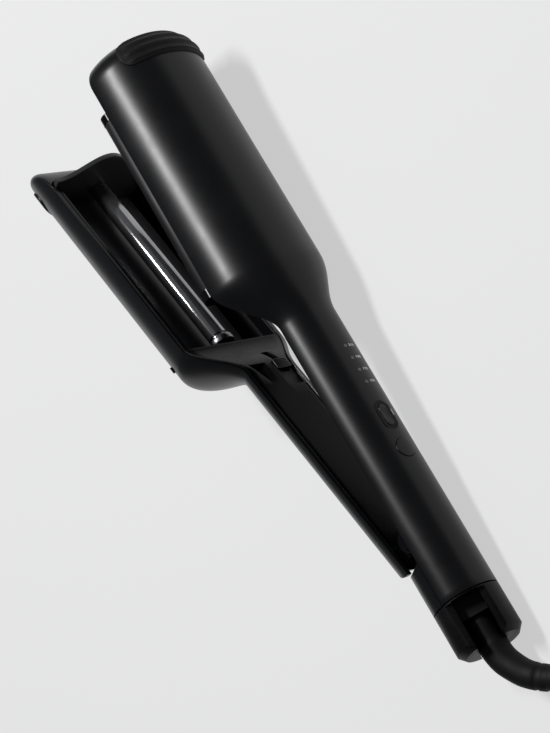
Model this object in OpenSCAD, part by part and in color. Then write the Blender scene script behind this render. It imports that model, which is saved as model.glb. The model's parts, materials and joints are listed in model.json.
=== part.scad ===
// Hair waver with two hinged arms, sprung open, lying on its side.
// Tool frame: X across the arms, Y towards the tips, Z the way the upper
// arm opens. The module lay() turns the tool on its side on the surface.

/* [Head] */
// Radius of each half-round head
head_r = 30.5; // [28:0.5:33]
// Where the straight part of the head begins
head_y0 = 168; // [166:1:172]
// Where the upper nose begins to round
nose_y = 277.5; // [274:0.5:280]
// Height of the upper head's centre below the handle's centre
head_drop = 10.6; // [9:0.2:12]

/* [Handle] */
// Radius of the handle
grip_r = 15.5; // [14.5:0.5:17]
// Wall of the shells
wall = 2; // [1.6:0.2:2.4]
// Rear end of the handle, where the tail cap begins
tail_y = -5; // [-8:1:-3]
// Length of the tail cap
tail_len = 23; // [20:1:26]

/* [Jaws] */
// Angle between the arms when open
open_angle = 11.15; // [10.6:0.05:11.6]
// Radius of a round rod
rod_r = 4.8; // [4.4:0.1:5]
// Distance of each upper rod from the middle
rod_x = 20; // [19:0.5:20.5]
// Depth of the lower trough below the rim
trough_depth = 12.5; // [12:0.5:13]

/* [Controls] */
// Place of the power button along the handle
button_y = 63.3; // [62:0.5:66]
// Radius of the power button
button_r = 4.6; // [4:0.2:5]
// Place of the temperature key along the handle
key_y = 80.3; // [79:0.5:82]
// Length of the temperature key
key_len = 11; // [10:0.5:12]
// Place of the first indicator lamp
lamp_y = 97.9; // [97:0.5:99]
// Distance between the indicator lamps
lamp_pitch = 6.4; // [6:0.1:6.8]

/* [Cord] */
// Radius of the cord
cord_r = 3; // [2.5:0.1:3.2]

/* [Hidden] */
$fn = 96;
e = 0.01;
key_pivot_z = 12;
key_pivot_r = 0.8;
pin_y = 28;
pin_z = -2;
// The same pin seen from the lower arm
low_pin_y = pin_y * cos(open_angle) - pin_z * sin(open_angle);
low_pin_z = pin_y * sin(open_angle) + pin_z * cos(open_angle);
pin_r = 2;
// The upper head is round about a line just below its rim
head_mid = -head_drop - 0.05;
neck_y0 = 138;
// The faceted neck lies this far inside the round bars it joins
neck_in = 0.12;
up_edge = 1;
low_mid = -1.3;
low_edge = -4;
low_rim = -12.5;
low_head = -10.6;
low_neck0 = 141;
tip_y = 306;
floor_z = low_rim - trough_depth;
low_rod_z = floor_z + rod_r + 2.7;
up_rod_z = -head_drop - 8.7;
slot_in_rim = 2.2;
cover_t = 1.6;
boss_z = up_edge + cover_t + 0.1;
// Insides of the two heads
frame_r = head_r - wall - 0.1;
jaw_w = frame_r - 2.5;
plate_t = 2.6;
trough_w = frame_r - 2.4;
floor_w = sqrt(pow(frame_r - 1, 2)
    - pow(floor_z - plate_t - low_head, 2));
// Corners of the upper nose, and its end
nose_c = 14;
nose_end = nose_y + 22.5;
nose_y1 = nose_end - nose_c;
// Rounded end of the lower head, seen from the side
tip_c = 5;
end_r = 25;
end_y = tip_y - end_r;
end_z = low_rim - 24.5;
wall_end = 284;
end_wall_t = 2.4;
trough_end = wall_end - end_wall_t;
crest_h = 13;
// Ears of the hinge bracket, inside the handle
ear_x = grip_r - wall - 3.5;
ear_t = 2.8;
ear_top = sqrt(pow(grip_r - wall - 0.3, 2) - pow(ear_x + ear_t / 2, 2));
lock_x = 8;
rest_tilt = 4.57;
tail_end = tail_y - tail_len;
ear_bevel = 3;
// Height of the tool's own axis above the surface
rest_h = grip_r * cos(rest_tilt) - (tail_end + ear_bevel) * sin(rest_tilt);
// The resting frame's origin is under the middle of the tool
pad_t = 1.2;
rib_top = 1.5;
span_hi = head_r + rib_top - head_drop;
span_lo = (tip_y - 6) * sin(open_angle)
    + (head_r + pad_t - low_head) * cos(open_angle);
mid_x = (span_hi - span_lo) / 2;
mid_y = (nose_end + rib_top + tail_end) / 2 - 1;
// Points of the boot and of the free cord, from the tool's own origin
boot_points = [[0, -17, 16.1], [0, -26, 15.3], [0.6, -34, 14.2], [3, -40, 13],
    [7, -46, 11.6], [14, -52, 9.6], [24, -58, 7], [35, -64, 5]];
cord_points = [[35, -64, 5], [44, -70, 3.6], [54, -77, 3], [65, -85, 3],
    [77, -93, 3], [90, -100, 3], [104, -104, 3]];
coil_x = 105;
coil_y = -62;
coil_r = 34;
turns_wide = 4;
coil_in = coil_r - turns_wide * cord_r;
coil_out = coil_r + turns_wide * cord_r;
coil_h = 4 * cord_r;
// The plug lies along the coil's side
plug_x = coil_x + coil_out - cord_r;
plug_y = coil_y + 25;
plug_z = 7.5;
relief_len = 18;
plug_len = 24;

// ---------- frames ----------

// Lays the tool on its side, with its tail and both heads on the surface
module lay() {
    place() translate([0, 0, rest_h])
        rotate([rest_tilt, 0, 0])
            rotate([0, 90, 0])
                children();
}

// Moves the tool's own origin to its place in the resting frame
module place() {
    translate([-mid_x, -mid_y, 0]) children();
}

// The lower arm hangs open from the pin
module low() {
    lay() rotate([-open_angle, 0, 0]) children();
}

// ---------- shared shapes ----------

// A disc cut flat at height z0, kept above it for up = 1, below for up = -1
module half_disc(r, mid, z0, up) {
    intersection() {
        translate([0, mid]) circle(r = r);
        translate([-r - 1, up > 0 ? z0 : z0 - 3 * r])
            square([2 * r + 2, 3 * r]);
    }
}

// That half disc drawn out along Y from y0 to y1
module half_bar(r, mid, z0, up, y0, y1) {
    translate([0, y1, 0])
        rotate([90, 0, 0])
            linear_extrude(height = y1 - y0)
                half_disc(r, mid, z0, up);
}

// A round bar from y0 to y1 whose end has corners of radius c
module nosed_bar(r, c, y0, y1) {
    translate([0, y0, 0]) rotate([-90, 0, 0]) rotate_extrude() {
        square([r, y1 - y0]);
        translate([0, y1 - y0]) {
            if (r > c) square([r - c, c]);
            translate([r - c, 0]) intersection() {
                circle(r = c);
                square([c, c]);
            }
        }
    }
}

// A flat plate of thickness t inside the arm, from ys through the neck
module neck_plate(r0, r1, up, mid0, mid1, e0, e1, t, ys, y0, y1) {
    m = 9;
    pts = [for (k = [-1:m]) let (u = max(k, 0) / m,
            y = k < 0 ? ys : y0 + (y1 - y0) * u, r = mix(r0, r1, u),
            mid = mix(mid0, mid1, u), za = mix(e0, e1, u), zb = za + up * t,
            far = max(abs(za - mid), abs(zb - mid)),
            w = sqrt(r * r - far * far))
        each [[-w, y, min(za, zb)], [w, y, min(za, zb)],
            [w, y, max(za, zb)], [-w, y, max(za, zb)]]];
    polyhedron(points = pts, faces = tube_faces(m + 2, 4));
}

function ease(u) = u * u * (3 - 2 * u);
function mix(a, b, u) = a + (b - a) * ease(u);

// One cross-section of the neck, as points at height y
function neck_ring(r, mid, z0, up, y, n) =
    let (s = max(-1, min(1, (z0 - mid) / r)), a0 = asin(s),
        b0 = up > 0 ? a0 : 180 - a0, b1 = up > 0 ? 180 - a0 : 360 + a0)
    [for (i = [0:n]) let (a = b0 + (b1 - b0) * i / n)
        [r * cos(a), y, mid + r * sin(a)]];

// Smooth change of section from the handle to the head
module neck(d, up, mid0, mid1, e0, e1, y0, y1) {
    n = 28;
    m = 9;
    pts = [for (k = [0:m]) let (u = k / m)
        each neck_ring(mix(grip_r, head_r, u) - d - neck_in, mix(mid0, mid1, u),
            mix(e0, e1, u), up, y0 + (y1 - y0) * u, n)];
    w = n + 1;
    side = [for (k = [0:m - 1]) for (i = [0:n])
        let (j = (i + 1) % w)
        [k * w + i, k * w + j, (k + 1) * w + j, (k + 1) * w + i]];
    cap0 = [[for (i = [0:n]) n - i]];
    cap1 = [[for (i = [0:n]) m * w + i]];
    polyhedron(points = pts, faces = concat(side, cap0, cap1));
}

// ---------- upper arm ----------

module upper_form(d, dz) {
    half_bar(grip_r - d, 0, up_edge - dz, 1, tail_y, neck_y0);
    neck(d, 1, 0, head_mid, up_edge - dz, -head_drop - dz,
        neck_y0, head_y0);
    above(-head_drop - dz) translate([0, 0, head_mid])
        nosed_bar(head_r - d, nose_c - d, head_y0, nose_y1);
}

// Keeps what lies above or below a height
module above(z) {
    intersection() {
        children();
        translate([-50, -50, z]) cube([100, 400, 80]);
    }
}
module below(z) {
    intersection() {
        children();
        translate([-50, -50, z - 80]) cube([100, 400, 80]);
    }
}

module key_shape(l, w, h) {
    linear_extrude(height = h) {
        translate([0, -(l - w) / 2]) circle(d = w);
        translate([0, (l - w) / 2]) circle(d = w);
        translate([-w / 2, -(l - w) / 2]) square([w, l - w]);
    }
}

module upper_shell() {
    color([0.10, 0.10, 0.11]) lay() difference() {
        union() {
            difference() {
                upper_form(0, 0);
                upper_form(wall, 1);
            }
            // bosses for the cover screws
            for (y = [48, 122])
                translate([0, y, boss_z])
                    cylinder(r = 3, h = grip_r - wall / 2 - boss_z);
            translate([0, 4, up_edge + 0.1])
                cylinder(r = 3, h = grip_r - wall / 2 - up_edge - 0.1);
            // rear bulkhead that closes the handle at the tail cap
            half_bar(grip_r - wall / 2, 0, up_edge, 1, tail_y, tail_y + 2);
        }
        for (y = [48, 122])
            translate([0, y, up_edge]) cylinder(r = 1.1, h = 9);
        translate([0, 4, up_edge - 1]) cylinder(r = 1.1, h = 9);
        // button, key and lamp openings on the crown
        translate([0, button_y, 8]) cylinder(r = button_r + 0.25, h = 12);
        translate([0, key_y, 8]) key_shape(key_len + 0.5, 4.9, 12);
        translate([0, key_y, grip_r - 0.7])
            key_shape(key_len + 4, 8, 3);
        for (i = [0:3])
            translate([0, lamp_y + i * lamp_pitch, 8])
                cylinder(r = 0.8, h = 12);
        // way through the bulkhead for the swivel
        translate([0, tail_y - 1, 0]) rotate([-90, 0, 0])
            cylinder(r = 4.2, h = 5);
    }
}

module rear_cover() {
    color([0.09, 0.09, 0.10]) lay() difference() {
        half_bar(grip_r, 0, up_edge - 0.15, -1, tail_y, 24);
        difference() {
            half_bar(grip_r - wall, 0, up_edge + 1, -1, tail_y + 2, 24);
            translate([-20, 32.2, -6.4]) rotate([0, 90, 0])
                cylinder(r = 19.2, h = 40);
        }
        translate([-20, 32.2, -6.4]) rotate([0, 90, 0])
            cylinder(r = 17.4, h = 40);
        translate([0, 4, -20]) cylinder(r = 1.6, h = 22);
        translate([0, 4, -20]) cylinder(r = 3, h = 9);
        translate([0, tail_y - 1, 0]) rotate([-90, 0, 0])
            cylinder(r = 4.2, h = 5);
    }
}

module upper_cover() {
    r = wall + 0.35;
    color([0.05, 0.05, 0.055]) lay() difference() {
        neck_plate(grip_r - r, head_r - r, 1, 0, head_mid, up_edge,
            -head_drop, cover_t, 36, neck_y0, head_y0);
        for (y = [48, 122])
            translate([0, y, -1]) cylinder(r = 1.6, h = 6);
    }
}

// Heat-proof frame inside the upper rim
module upper_frame() {
    color([0.045, 0.045, 0.05]) lay() difference() {
        union() {
            above(-head_drop) translate([0, 0, head_mid])
                nosed_bar(frame_r, nose_c - wall - 0.1, head_y0 + 0.1,
                    nose_y1);
            // lip that shows below the rim
            translate([0.4 - frame_r, head_y0 + 0.5,
                -head_drop - slot_in_rim])
                cube([2 * frame_r - 0.8, nose_y - head_y0 - 0.5,
                    slot_in_rim]);
        }
        // open above the plate
        above(-head_drop + 3) translate([0, 0, head_mid])
            nosed_bar(jaw_w, nose_c - wall - 2.6, head_y0 + 2.6, nose_y1);
        // open jaw below the plate
        translate([-jaw_w, head_y0 + 2.6, -head_drop - 10])
            cube([2 * jaw_w, nose_y - head_y0 - 2.6, 13.5]);
        // way into the nose for the crest of the lower jaw
        translate([1 - jaw_w, nose_y - 1, -head_drop - 10])
            cube([2 * jaw_w - 2, wall_end - nose_y + 3, 13.5]);
    }
}

module upper_plate() {
    w = jaw_w - 0.1;
    l = nose_y - head_y0 - 2.8;
    color([0.07, 0.07, 0.075]) lay() difference() {
        translate([-w, head_y0 + 2.7, -head_drop])
            cube([2 * w, l, plate_t]);
        translate([1.2 - w, head_y0 + 3.9, -head_drop + 1.4])
            cube([2 * w - 2.4, l - 2.4, 2]);
    }
}

module upper_rods() {
    color([0.12, 0.12, 0.13]) lay()
        for (s = [-1, 1]) translate([s * rod_x, head_y0 + 8, up_rod_z])
            rotate([-90, 0, 0]) difference() {
                cylinder(r = rod_r, h = nose_y - head_y0 - 12);
                translate([0, 0, -1])
                    cylinder(r = rod_r - 1, h = nose_y - head_y0);
            }
}

// End holders that carry the rods from the frame
module upper_rod_collars() {
    color([0.06, 0.06, 0.065]) lay()
        for (s = [-1, 1]) translate([s * rod_x, 0, 0]) {
            translate([0, head_y0 + 3.3, up_rod_z]) rotate([-90, 0, 0])
                cylinder(r = rod_r + 0.5, h = 4.7);
            translate([-4, head_y0 + 3.3, up_rod_z])
                cube([8, 3, -head_drop - up_rod_z]);
            translate([0, nose_y - 4, up_rod_z]) rotate([-90, 0, 0])
                cylinder(r = rod_r + 0.2, h = 3.9);
            translate([-4, nose_y - 3.1, up_rod_z])
                cube([8, 3, -head_drop - up_rod_z]);
        }
}

module upper_heater() {
    color([0.75, 0.7, 0.6]) lay()
        translate([-15, head_y0 + 20, -head_drop + 1.4])
            cube([30, 70, 1.2]);
}

// Rubber pad with four ribs over the upper nose
// Bean-shaped pad over the shoulder of the upper nose, with four ribs
module nose_skin(d) {
    translate([0, 0, head_mid])
        nosed_bar(head_r + d, nose_c + d, nose_y1 - 10, nose_y1);
}

module upper_grip_pad() {
    color([0.03, 0.03, 0.03]) lay() difference() {
        union() {
            intersection() {
                nose_skin(0.8);
                translate([0, nose_end - 8, 0]) linear_extrude(height = 40)
                    hull() for (x = [-15, 15])
                        translate([x, 0]) circle(r = 7, $fn = 32);
            }
            intersection() {
                translate([0, nose_y1, head_mid]) rotate([-90, 0, 0])
                    for (t = [4, 18, 32, 46]) rotate_extrude($fn = 60)
                        translate([head_r - nose_c
                            + (nose_c + rib_top - 0.9) * cos(t),
                            (nose_c + rib_top - 0.9) * sin(t)])
                            circle(r = 0.9, $fn = 12);
                translate([-15, nose_y1 - 10, 0]) cube([30, 40, 40]);
            }
        }
        nose_skin(0.02);
    }
}

module control_board() {
    color([0.05, 0.30, 0.16]) lay() {
        translate([-8, 54, 6.4]) cube([16, 64.5, 1.6]);
        // switches under the button and the key
        translate([-3, button_y - 3, 8]) cube([6, 6, 2.2]);
        for (s = [-1, 1])
            translate([-1.5, key_y + s * 3.6 - 1.5, 8]) cube([3, 3, 2]);
        // cradle for the key's pivot
        for (s = [-1, 1])
            translate([s * 3 - 0.4, key_y - 1.2, 8])
                cube([0.8, 2.4, key_pivot_z - key_pivot_r - 8.03]);
        // lamps
        for (i = [0:3])
            translate([0, lamp_y + i * lamp_pitch, 8])
                cylinder(r = 1.5, h = 2.4);
        for (y = [56, 114])
            for (s = [-1, 1])
                translate([s * 6.5, y, up_edge + cover_t])
                    cylinder(r = 1.2, h = 6.4 - up_edge - cover_t);
    }
}

module power_button() {
    color([0.06, 0.06, 0.065]) lay() intersection() {
        translate([0, button_y, 10.9])
            cylinder(r = button_r, h = grip_r - 7.5);
        translate([0, button_y - 20, 0]) rotate([-90, 0, 0])
            cylinder(r = grip_r + 0.35, h = 40);
    }
}

module temperature_key() {
    color([0.06, 0.06, 0.065]) lay() {
        difference() {
            translate([0, key_y, 11.4])
                key_shape(key_len, 4.4, grip_r + 0.2 - 11.4);
            translate([-5, key_y, grip_r + 15.5]) rotate([0, 90, 0])
                cylinder(r = 15.7, h = 10);
        }
        translate([-3.4, key_y, key_pivot_z]) rotate([0, 90, 0])
            cylinder(r = key_pivot_r, h = 6.8);
    }
}

module key_bezel() {
    color([0.08, 0.08, 0.085]) lay() difference() {
        translate([0, key_y, grip_r - 0.7]) key_shape(key_len + 3.9, 7.9, 0.6);
        translate([0, key_y, 8]) key_shape(key_len + 0.5, 4.9, 12);
    }
}

module lamp_lenses() {
    color([0.9, 0.9, 0.88]) lay()
        for (i = [0:3])
            translate([0, lamp_y + i * lamp_pitch, 11])
                cylinder(r = 0.8, h = grip_r - 11 + 0.05);
}

// Tail cap with two ears beside the cord
module tail_cap() {
    color([0.05, 0.05, 0.055]) lay() difference() {
        translate([0, tail_y, 0]) rotate([90, 0, 0]) rotate_extrude()
            polygon([[0, 0], [grip_r, 0], [grip_r, tail_len - ear_bevel],
                [grip_r - 2.6, tail_len], [0, tail_len]]);
        // slot between the ears, turned towards the outer side
        rotate([0, 45, 0])
            translate([-30, tail_end - 1, -6.5]) cube([60, 15, 13]);
        // socket for the swivel ball and its way out
        translate([0, tail_y - 5, 0]) sphere(r = 6.06);
        translate([0, tail_y - 5.5, 0]) rotate([90, 0, 0])
            cylinder(r = 5.2, h = 8);
        translate([0, tail_y + 1, 0]) rotate([90, 0, 0])
            cylinder(r = 4.06, h = 8);
    }
}

// Ball and stem that let the cord turn
module cord_swivel() {
    color([0.04, 0.04, 0.045]) lay() difference() {
        union() {
            translate([0, tail_y - 5, 0]) sphere(r = 6);
            translate([0, tail_y - 5, 0]) rotate([90, 0, 0])
                cylinder(r = 4.2, h = 6.8);
            translate([0, tail_y + 3.5, 0]) rotate([90, 0, 0])
                cylinder(r = 4, h = 8);
        }
        translate([0, tail_y + 5, 0]) rotate([90, 0, 0])
            cylinder(r = 2, h = 40);
    }
}

// Points of a tube of n sides along a path, with its own radius at each
function unit(v) = v / norm(v);
function way(p, i) = unit(p[min(i + 1, len(p) - 1)] - p[max(i - 1, 0)]);
function across(t) = unit(cross(t, [0, 0, 1]));
function tube_pts(p, r, n) = [for (i = [0:len(p) - 1])
    let (t = way(p, i), a = across(t), b = cross(a, t))
    for (k = [0:n - 1])
        p[i] + r[i] * (cos(360 * k / n) * a + sin(360 * k / n) * b)];
function tube_faces(m, n) = concat(
    [[for (k = [0:n - 1]) k]],
    [for (i = [0:m - 2]) for (k = [0:n - 1])
        let (j = (k + 1) % n)
        [i * n + j, i * n + k, (i + 1) * n + k, (i + 1) * n + j]],
    [[for (k = [0:n - 1]) m * n - 1 - k]]);
module tube(p, r, n) {
    polyhedron(points = tube_pts(p, r, n), faces = tube_faces(len(p), n));
}
// Smooth curve through points
function cr(a, b, c, d, t) = 0.5 * (2 * b + (c - a) * t
    + (2 * a - 5 * b + 4 * c - d) * t * t
    + (3 * b - a - 3 * c + d) * t * t * t);
function smooth(p, n) = let (l = len(p) - 1) concat(
    [for (i = [0:l - 1]) for (k = [0:n - 1])
        cr(p[max(i - 1, 0)], p[i], p[i + 1], p[min(i + 2, l)], k / n)],
    [p[l]]);

// Moulded bend relief, thick at the tool and slim where the cord leaves
module cord_boot() {
    p = smooth(boot_points, 3);
    m = len(p) - 1;
    color([0.03, 0.03, 0.03]) place()
        tube(p, [for (i = [0:m]) 6.2 - 1.9 * i / m], 16);
}

module cord() {
    p = smooth(cord_points, 3);
    color([0.03, 0.03, 0.03]) place()
        tube(p, [for (i = [0:len(p) - 1]) cord_r], 10);
}

// The wound turns as one closed ring
module cord_coil() {
    color([0.03, 0.03, 0.03]) place() translate([coil_x, coil_y, 0])
        rotate_extrude() translate([coil_in, 0])
            square([coil_out - coil_in, coil_h]);
}

module cord_tie() {
    w = coil_out - coil_in;
    color([0.06, 0.06, 0.06]) place()
        translate([coil_x - 4, coil_y + coil_in, 0]) difference() {
            translate([0, -0.8, 0]) cube([8, w + 1.6, coil_h + 0.8]);
            translate([-1, 0, 0.8]) cube([10, w, coil_h - 0.8]);
        }
}

// Plug that lies beside the coil, with its own bend relief
module plug_body() {
    color([0.03, 0.03, 0.03]) place() translate([plug_x, plug_y, plug_z]) {
        rotate([-90, 0, 0]) cylinder(r1 = 3.4, r2 = 5, h = relief_len);
        translate([-11, relief_len, -plug_z]) cube([22, plug_len, 15]);
    }
}

module plug_pins() {
    color([0.8, 0.8, 0.8]) place()
        translate([plug_x, plug_y + relief_len + plug_len, plug_z])
            for (s = [-1, 1])
                translate([s * 6.35 - 0.8, 0, -3.2]) cube([1.6, 17, 6.4]);
}

module hinge_pin() {
    color([0.7, 0.7, 0.72]) lay() {
        translate([-ear_x - 2, pin_y, pin_z]) rotate([0, 90, 0])
            cylinder(r = pin_r, h = 2 * ear_x + 4);
        translate([-ear_x - 2.4, pin_y, pin_z]) rotate([0, 90, 0])
            cylinder(r = 3.2, h = 1);
    }
}

// Two ears that hold the pin, fixed inside the upper shell
module hinge_bracket() {
    color([0.55, 0.55, 0.57]) lay() difference() {
        union() {
            for (s = [-1, 1]) translate([s * ear_x - ear_t / 2, 0, 0]) {
                translate([0, pin_y, pin_z]) rotate([0, 90, 0])
                    cylinder(r = 5, h = ear_t);
                translate([0, pin_y - 5, pin_z])
                    cube([ear_t, 10, ear_top - pin_z]);
            }
            translate([-ear_x - ear_t / 2, pin_y - 5, ear_top - 1.5])
                cube([2 * ear_x + ear_t, 10, 1.5]);
        }
        translate([-20, pin_y, pin_z]) rotate([0, 90, 0])
            cylinder(r = pin_r, h = 40);
    }
}

module jaw_spring() {
    color([0.75, 0.75, 0.77]) lay() {
        for (x = [-2.1, -0.7, 0.7, 2.1])
            translate([x, pin_y, pin_z]) rotate([0, 90, 0])
                rotate_extrude($fn = 32) translate([3.1, 0])
                    circle(r = 0.7, $fn = 16);
        translate([-2.1, pin_y - 3.1, pin_z])
            cylinder(r = 0.6, h = ear_top - 1.7 - pin_z, $fn = 16);
        translate([2.1, pin_y + 3.1, pin_z - 6])
            cylinder(r = 0.6, h = 6, $fn = 16);
    }
}

module shell_screws() {
    color([0.6, 0.6, 0.62]) lay() {
        for (y = [48, 122]) translate([0, y, 0]) {
            translate([0, 0, up_edge - 1.2]) cylinder(r = 2.6, h = 1.2);
            translate([0, 0, up_edge - e]) cylinder(r = 1.1, h = 8);
        }
        translate([0, 4, -11]) cylinder(r = 2.6, h = 1.2);
        translate([0, 4, -9.81]) cylinder(r = 1.1, h = 18);
    }
}

// ---------- lower arm ----------

module lower_form(d, dz) {
    half_bar(grip_r - d, low_mid, low_edge + dz, -1,
        d > 0 ? 14 : 15, low_neck0);
    neck(d, -1, low_mid, low_head, low_edge + dz, low_rim + dz,
        low_neck0, head_y0);
    difference() {
        below(low_rim + dz) translate([0, 0, low_head])
            nosed_bar(head_r - d, tip_c - d, head_y0, tip_y - tip_c);
        beyond_tip(d);
    }
}

module lower_shell() {
    color([0.10, 0.10, 0.11]) low() difference() {
        union() {
            difference() {
                lower_form(0, 0);
                lower_form(wall, 1);
            }
            for (y = [60, 120])
                translate([0, y, -16]) cylinder(r = 3, h = 10);
        }
        for (y = [60, 120])
            translate([0, y, -14]) cylinder(r = 1.1, h = 10);
        // rounded rear end
        difference() {
            translate([-30, -20, -40]) cube([60, 52.9, 60]);
            translate([-30, 32.9, 0]) rotate([0, 90, 0])
                cylinder(r = 16.75, h = 60);
        }
    }
}

module lower_cover() {
    r = wall + 0.35;
    color([0.05, 0.05, 0.055]) low() difference() {
        neck_plate(grip_r - r, head_r - r, -1, low_mid, low_head, low_edge,
            low_rim, 1.8, 32, low_neck0, head_y0);
        // track of the lock slider
        translate([lock_x - 4.8, 130, low_edge - 0.8]) cube([9.6, 20, 3]);
        translate([lock_x - 2, 138.5, low_edge - 6]) cube([4, 12, 8]);
        // slot that takes the hook of the upper arm
        translate([lock_x - 2, 147.5, -14]) cube([4, 7.5, 12]);
    }
}

// Everything beyond the rounded end, moved in by d
module beyond_tip(d) {
    difference() {
        translate([-50, end_y, low_head - head_r - 10])
            cube([100, 60, head_r + 60]);
        translate([-60, end_y, end_z]) rotate([0, 90, 0])
            cylinder(r = end_r - d, h = 120);
        translate([-60, end_y - 5, low_head - head_r - 20])
            cube([120, 5 + end_r - d, end_z - low_head + head_r + 20]);
    }
}

// Trough walls and the wavy end of the lower jaw
module lower_frame() {
    color([0.05, 0.05, 0.055]) low() difference() {
        union() {
            difference() {
                half_bar(frame_r, low_head, low_rim, -1,
                    head_y0 + 0.1, wall_end);
                beyond_tip(wall + 0.1);
            }
            // wavy end wall with its crest in the middle
            translate([0, wall_end, 0]) rotate([90, 0, 0])
                linear_extrude(height = end_wall_t)
                    polygon(concat([[0.1 - frame_r, low_rim]],
                        [for (i = [0:24])
                            let (x = (frame_r - 0.1) * (i / 12 - 1))
                            [x, low_rim + 3 + crest_h
                                * pow(cos(90 * x / frame_r), 2)]],
                        [[frame_r - 0.1, low_rim]]));
        }
        // the open trough, narrower at its floor
        translate([0, trough_end, 0]) rotate([90, 0, 0])
            linear_extrude(height = trough_end - head_y0 - 2.6)
                polygon([[-floor_w, floor_z - plate_t - 0.1],
                    [floor_w, floor_z - plate_t - 0.1],
                    [floor_w, floor_z], [trough_w, floor_z + 8],
                    [trough_w, 10], [-trough_w, 10],
                    [-trough_w, floor_z + 8], [-floor_w, floor_z]]);
        half_bar(jaw_w, low_head, floor_z - plate_t, -1,
            head_y0 + 2.6, trough_end);
    }
}

module lower_plate() {
    w = floor_w - 0.1;
    l = trough_end - head_y0 - 2.8;
    color([0.08, 0.08, 0.085]) low() difference() {
        translate([-w, head_y0 + 2.7, floor_z - plate_t])
            cube([2 * w, l, plate_t]);
        translate([1.2 - w, head_y0 + 4, floor_z - plate_t - 0.4])
            cube([2 * w - 2.4, l - 2.6, 1.8]);
    }
}

module lower_rod() {
    color([0.12, 0.12, 0.13]) low()
        translate([0, head_y0 + 8, low_rod_z]) rotate([-90, 0, 0])
            difference() {
                cylinder(r = rod_r, h = trough_end - head_y0 - 8.1);
                translate([0, 0, -1])
                    cylinder(r = rod_r - 1, h = trough_end - head_y0);
            }
}

module lower_rod_collars() {
    color([0.5, 0.5, 0.52]) low() {
        translate([0, head_y0 + 2.7, low_rod_z]) rotate([-90, 0, 0])
            cylinder(r = rod_r + 1.2, h = 3.4);
        translate([0, head_y0 + 6.1, low_rod_z]) rotate([-90, 0, 0])
            cylinder(r = rod_r - 0.8, h = 1.9);
        translate([-3, head_y0 + 2.7, floor_z])
            cube([6, 3.4, 5]);
    }
}

module lower_heater() {
    color([0.75, 0.7, 0.6]) low()
        translate([-15, head_y0 + 20, floor_z - 2.4])
            cube([30, 70, 1.2]);
}

// Rubber pad under the lower tip, to press the jaws with
module lower_grip_pad() {
    pad_len = 12;
    y0 = tip_y - tip_c - pad_len - 1;
    color([0.03, 0.03, 0.03]) low() difference() {
        below(low_head - 0.62 * head_r) translate([0, y0, low_head])
            rotate([-90, 0, 0]) cylinder(r = head_r + pad_t, h = pad_len);
        translate([0, y0 - 1, low_head]) rotate([-90, 0, 0])
            cylinder(r = head_r + 0.02, h = pad_len + 2);
        beyond_tip(-pad_t);
    }
}

module side_nubs() {
    color([0.05, 0.05, 0.055]) low()
        for (s = [-1, 1])
            translate([0, 174, low_head]) rotate([0, s * 45, 0])
                translate([0, 0, -head_r - 0.9]) cylinder(r = 1.6, h = 0.9);
}

module lock_slider() {
    color([0.10, 0.10, 0.11]) low() {
        translate([lock_x - 4.2, 140.4, low_edge - 0.7])
            cube([8.4, 5.8, 1.4]);
        for (y = [141.2, 142.9, 144.6])
            translate([lock_x - 4.2, y, low_edge + 0.7 - e])
                cube([8.4, 0.8, 0.6]);
        translate([lock_x - 1.7, 141, low_edge - 5.4])
            cube([3.4, 5, 5]);
        translate([lock_x - 1.7, 145, low_edge - 5.4])
            cube([3.4, 2, 1.3]);
    }
}

// Hook on the upper cover that the lock can hold
module lock_hook() {
    color([0.06, 0.06, 0.065]) lay() {
        translate([lock_x - 1.2, 150.6, -15.2]) cube([2.4, 2.3, 12.4]);
        translate([lock_x - 1.2, 148.8, -15.2]) cube([2.4, 2, 1.4]);
    }
}

// Knuckles of the lower arm round the pin
module hinge_knuckle() {
    color([0.06, 0.06, 0.065]) low() difference() {
        union() {
            for (x = [-8.2, 3.2]) {
                translate([x, low_pin_y, low_pin_z]) rotate([0, 90, 0])
                    cylinder(r = 5, h = 5);
                translate([x, low_pin_y - 4, low_edge - 1.8])
                    cube([5, 8, 7.5]);
            }
            // glossy end piece that closes the rear of the lower arm
            intersection() {
                half_bar(grip_r - wall - 0.1, low_mid, low_edge, -1, 15, 32);
                translate([-30, 32.9, 0]) rotate([0, 90, 0])
                    cylinder(r = 16.7 - wall, h = 60);
            }
        }
        translate([-20, low_pin_y, low_pin_z]) rotate([0, 90, 0])
            cylinder(r = pin_r + 0.05, h = 40);
    }
}

upper_shell();
rear_cover();
upper_cover();
upper_frame();
upper_plate();
upper_rods();
upper_rod_collars();
upper_heater();
upper_grip_pad();
control_board();
power_button();
temperature_key();
key_bezel();
lamp_lenses();
tail_cap();
cord_swivel();
cord_boot();
cord();
cord_coil();
cord_tie();
plug_body();
plug_pins();
hinge_pin();
hinge_bracket();
jaw_spring();
shell_screws();
lower_shell();
lower_cover();
lower_frame();
lower_plate();
lower_rod();
lower_rod_collars();
lower_heater();
lower_grip_pad();
side_nubs();
lock_slider();
lock_hook();
hinge_knuckle();
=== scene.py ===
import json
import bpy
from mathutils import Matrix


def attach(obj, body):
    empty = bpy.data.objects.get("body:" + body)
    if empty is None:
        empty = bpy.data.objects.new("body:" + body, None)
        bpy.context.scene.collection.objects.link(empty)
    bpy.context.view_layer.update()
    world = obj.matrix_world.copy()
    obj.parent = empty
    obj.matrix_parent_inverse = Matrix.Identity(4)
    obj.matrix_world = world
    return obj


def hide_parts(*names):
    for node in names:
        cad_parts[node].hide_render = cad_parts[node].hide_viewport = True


bl_info = {
    "name": "Hair Waver",
    "version": (1, 0, 0),
    "blender": (4, 5, 0),
    "location": "3D View > Sidebar > Hair Waver",
    "description": "Dresses a hinged hair waver and its cord",
    "category": "Object",
}

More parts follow.
